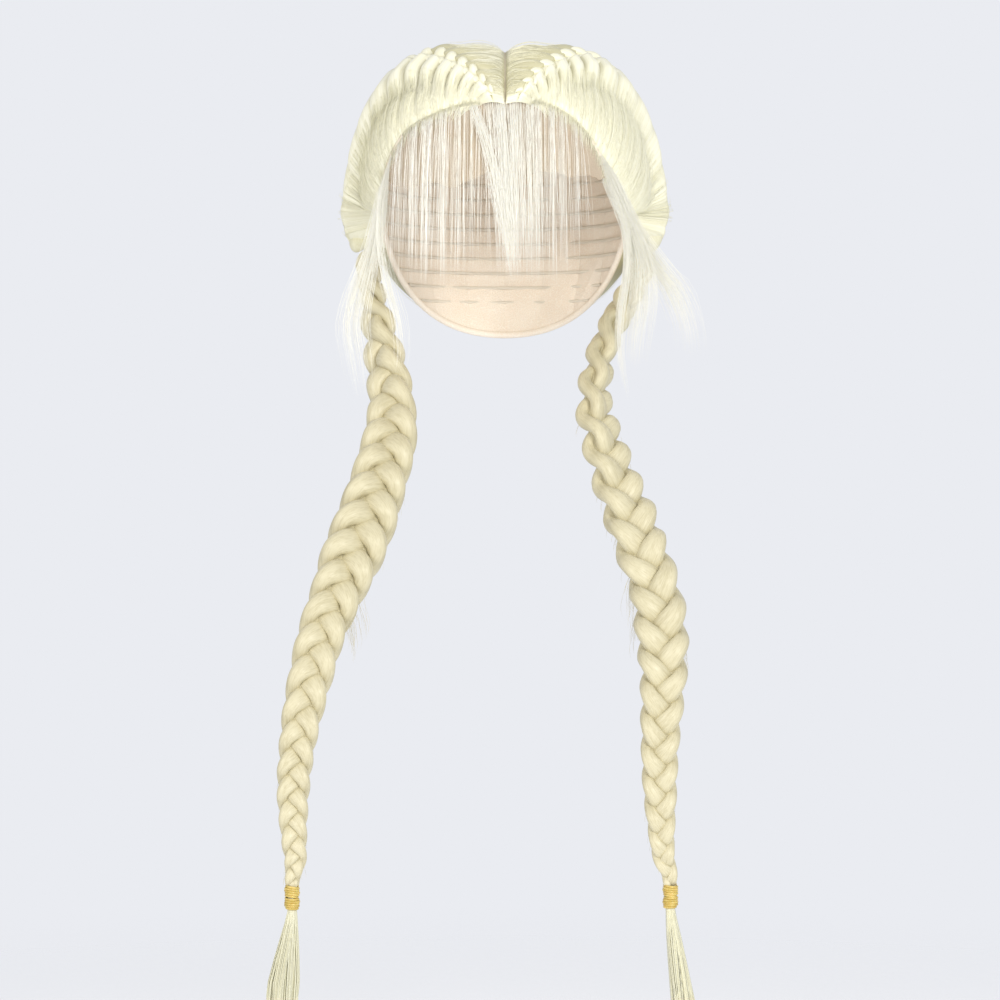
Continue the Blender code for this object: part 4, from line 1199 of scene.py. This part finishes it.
def make_fringe(finish):
    rng = np.random.default_rng(FRINGE_SEED)
    spot = np.linspace(-0.75, 0.75, 301)
    hairline_across = on_head(front_line(spot), 1)[:, 0]
    knots = []
    for root, tip, root_spread, tip_spread, tip_height, count in FRINGE_LOCKS:
        share = np.clip(rng.normal(0, 0.55, count), -1.2, 1.2)
        start_x = root + share * root_spread
        end_x = tip + share * tip_spread + rng.normal(0, FRINGE_STRAY, count)
        start = front_line(np.interp(start_x, hairline_across, spot))
        start = between(start, heading(0, -90), rng.uniform(-0.01, 0.035, count))
        elevation = np.degrees(np.arcsin(start[:, 2]))
        lift = rng.uniform(*FRINGE_LIFTS, count)
        swerve = end_x - start_x
        first = on_head(start, FRINGE_ROOT_LIFT)
        second = brow_point(start_x + swerve * 0.08, elevation - 5, 1.4 + lift * 0.3)
        third = brow_point(start_x + swerve * 0.35, elevation * 0.45, lift)
        fourth = brow_point(start_x + swerve * 0.68, -4, lift)
        height = tip_height + rng.uniform(-6, 16, count) + 26 * (rng.random(count) < 0.25)
        sixth = vectors(end_x, fourth[:, 1] - 1, height)
        fifth = fourth * 0.45 + sixth * 0.55
        knots.append(np.stack([first, second, third, fourth, fifth, sixth], axis=1))
    paths = smooth_paths(np.concatenate(knots), FRINGE_POINTS)
    radius = rng.uniform(*FRINGE_RADII, len(paths))
    fringe = make_hairs("loose_fringe", paths, radius, finish, rng)
    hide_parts("fringe")


# The fringe's glow is painted light, given off as emission to brighten the thin hairs
fringe_finish = hair_finish("near_white_fringe", FRINGE_CREAM, FRINGE_WHITE, 0.8, 0.4, 0.1, 0.12)
make_fringe(fringe_finish)

# Temple locks
# A thin lock of near-white fibre is left out of the braid in front of each ear opening. It hangs as a
# few bundles of fine hairs, which open out as they fall.
LOCK_SEED = 141
LOCK_POINTS = 13
LOCK_SAMPLES = 39
LOCK_RADII = (0.045, 0.08)
LOCK_ROOT_LIFT = 0.8
LOCK_BANDS = {"left": (0.42, 0.58), "right": (0.31, 0.46)}
# Bundles of each lock: hairs, least share of the full length, then the path below the hairline as
# across, forward, height and half spread
LOCKS = {
    "left": [
        (220, 0.5, [
            (-76, -37, -94, 3), (-82, -38, -124, 4.5), (-89, -38, -148, 7), (-93, -38, -169, 8),
            (-90, -38, -190, 8), (-87, -38, -212, 6),
        ]),
        (80, 0.5, [(-74, -40, -97, 3), (-78, -42, -118, 4), (-81, -42, -135, 4.5), (-82, -42, -148, 5)]),
        (80, 0.6, [
            (-75, -42, -94, 3), (-76, -46, -118, 3.5), (-71, -48, -145, 4), (-65, -48, -166, 4),
            (-63, -47, -184, 4), (-65, -46, -198, 3),
        ]),
    ],
    "right": [
        (330, 0.6, [
            (65, -56, -84, 3.5), (76, -50, -109, 3), (82, -46, -131, 6), (82, -46, -154, 8),
            (79, -45, -175, 8), (78, -45, -194, 7),
        ]),
        (150, 0.75, [
            (62.5, -58, -84, 2.5), (72, -54, -109, 2), (74, -52, -127, 1.8), (72.6, -50, -145, 2),
            (69.6, -50, -163, 2), (69.6, -50, -187, 2), (74.5, -50, -214, 1),
        ]),
        (300, 0.55, [
            (66, -55, -84, 3), (78, -48, -109, 3.5), (90, -42, -131, 7), (102, -38, -148, 9),
            (110, -36, -169, 9), (112, -36, -187, 9),
        ]),
    ],
}
LOCK_SHADE = (0.86, 0.84, 0.74, 1)
LOCK_WHITE = (0.97, 0.96, 0.88, 1)


def make_temple_locks(side_name, finish):
    side = SIDES[side_name]
    rng = np.random.default_rng(LOCK_SEED + side)
    paths = []
    for count, shortest, rows in LOCKS[side_name]:
        place = rng.uniform(*LOCK_BANDS[side_name], count)
        share = np.clip(rng.normal(0, 0.6, count), -1.3, 1.3)
        depth = rng.normal(0, 2.0, count)
        knots = [on_head(mirrored(edge_heading(place, side), side), LOCK_ROOT_LIFT)]
        for across, forward, height, spread in rows:
            across = across + share * spread + rng.normal(0, 0.3, count)
            knots.append(vectors(across, forward + depth, height + rng.normal(0, 1.5, count)))
        length = rng.uniform(shortest, 1, count)
        whole = smooth_paths(np.stack(knots, axis=1), LOCK_SAMPLES)
        spot = np.linspace(0, 1, LOCK_POINTS)[None] * length[:, None] * (LOCK_SAMPLES - 1)
        low = np.minimum(spot.astype(int), LOCK_SAMPLES - 2)
        hair = np.arange(count)[:, None]
        part = column(spot - low)
        paths.append(whole[hair, low] * (1 - part) + whole[hair, low + 1] * part)
    paths = np.concatenate(paths)
    radius = rng.uniform(*LOCK_RADII, len(paths))
    locks = make_hairs(f"loose_temple_locks_{side_name}", paths, radius, finish, rng)
    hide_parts(f"temple_locks_{side_name}")


# The locks' glow is painted light, given off as emission to brighten the thin hairs
lock_finish = hair_finish("near_white_locks", LOCK_SHADE, LOCK_WHITE, 0.8, 0.4, 0.1, 0.1)
for side_name in SIDES:
    make_temple_locks(side_name, lock_finish)

# Stage
# The wig hangs over a plain pale floor, which fades out, in soft studio light that is stronger from
# the upper right. Sizes here are in metres.
FLOOR_DROP = 0.66
FLOOR_RADIUS = 1.3
FLOOR_RINGS = 12
FLOOR_SPOKES = 64
FLOOR_LIGHT = (0.97, 0.975, 0.99, 1)
FLOOR_GRAIN = (0.93, 0.94, 0.965, 1)
# Lights: place, what they point at, width of the disk, power and colour
LIGHTS = {
    "key_softbox": ((1.1, -2.3, 0.3), (0, 0, -0.2), 1.0, 40, (1.0, 0.99, 0.96)),
    "fill_softbox": ((-1.6, -1.9, 0.2), (0, 0, -0.1), 1.2, 23, (1.0, 0.96, 0.91)),
}
PALE = (0.823, 0.838, 0.880, 1)
CAMERA_PLACE = (-0.0031, -2.2, -0.2753)
CAMERA_LENS = 127.7
AIR_LIGHT = 0.7


def floor_finish():
    finish = Finish("pale_floor")
    place = finish.node("ShaderNodeTexCoord", {}, {}, "Object")
    far = finish.node("ShaderNodeVectorMath", {"operation": "LENGTH"}, {0: place}, "Value")
    grain = finish.noise(place, 60)
    return finish.surface({
        "Base Color": finish.blend(FLOOR_LIGHT, FLOOR_GRAIN, grain * 0.5),
        "Roughness": 0.8 + grain * 0.1,
        "Alpha": 1 - finish.clamped(far, 0.35, 1.2),
        "Emission Color": (1, 1, 1, 1),
        "Emission Strength": 0.12,
    })


def make_stage():
    radius = np.linspace(0.0001, FLOOR_RADIUS, FLOOR_RINGS)[:, None]
    angle = 2 * math.pi * np.arange(FLOOR_SPOKES)[None] / FLOOR_SPOKES
    points = vectors(radius * np.cos(angle), radius * np.sin(angle), 0)
    mesh = bpy.data.meshes.new("studio_floor")
    mesh.from_pydata(points.reshape(-1, 3), [], grid_faces(FLOOR_RINGS, FLOOR_SPOKES, closed=True))
    mesh.materials.append(floor_finish())
    floor = bpy.data.objects.new("studio_floor", mesh)
    floor.location = (0, 0, -FLOOR_DROP)
    bpy.context.scene.collection.objects.link(floor)


def add_light(name, place, aim, size, power, colour):
    lamp = bpy.data.lights.new(name, "AREA")
    lamp.shape = "DISK"
    lamp.size = size
    lamp.energy = power
    lamp.color = colour
    light = bpy.data.objects.new(name, lamp)
    light.location = place
    light.rotation_euler = (Vector(aim) - Vector(place)).to_track_quat("-Z", "Y").to_euler()
    bpy.context.scene.collection.objects.link(light)


make_stage()
for name, lighting in LIGHTS.items():
    add_light(name, *lighting)

world = bpy.data.worlds.new("studio")
world.use_nodes = True
air = world.node_tree.nodes["Background"]
air.inputs["Color"].default_value = PALE
rays = world.node_tree.nodes.new("ShaderNodeLightPath")
strength = world.node_tree.nodes.new("ShaderNodeMix")
strength.inputs["A"].default_value = AIR_LIGHT
strength.inputs["B"].default_value = 1
world.node_tree.links.new(rays.outputs["Is Camera Ray"], strength.inputs["Factor"])
world.node_tree.links.new(strength.outputs["Result"], air.inputs["Strength"])
bpy.context.scene.world = world
bpy.context.scene.view_settings.view_transform = "Standard"

lens = bpy.data.cameras.new("camera")
lens.lens = CAMERA_LENS
lens.sensor_width = 36
camera = bpy.data.objects.new("camera", lens)
camera.location = CAMERA_PLACE
camera.rotation_euler = (math.pi / 2, 0, 0)
bpy.context.scene.collection.objects.link(camera)
bpy.context.scene.camera = camera
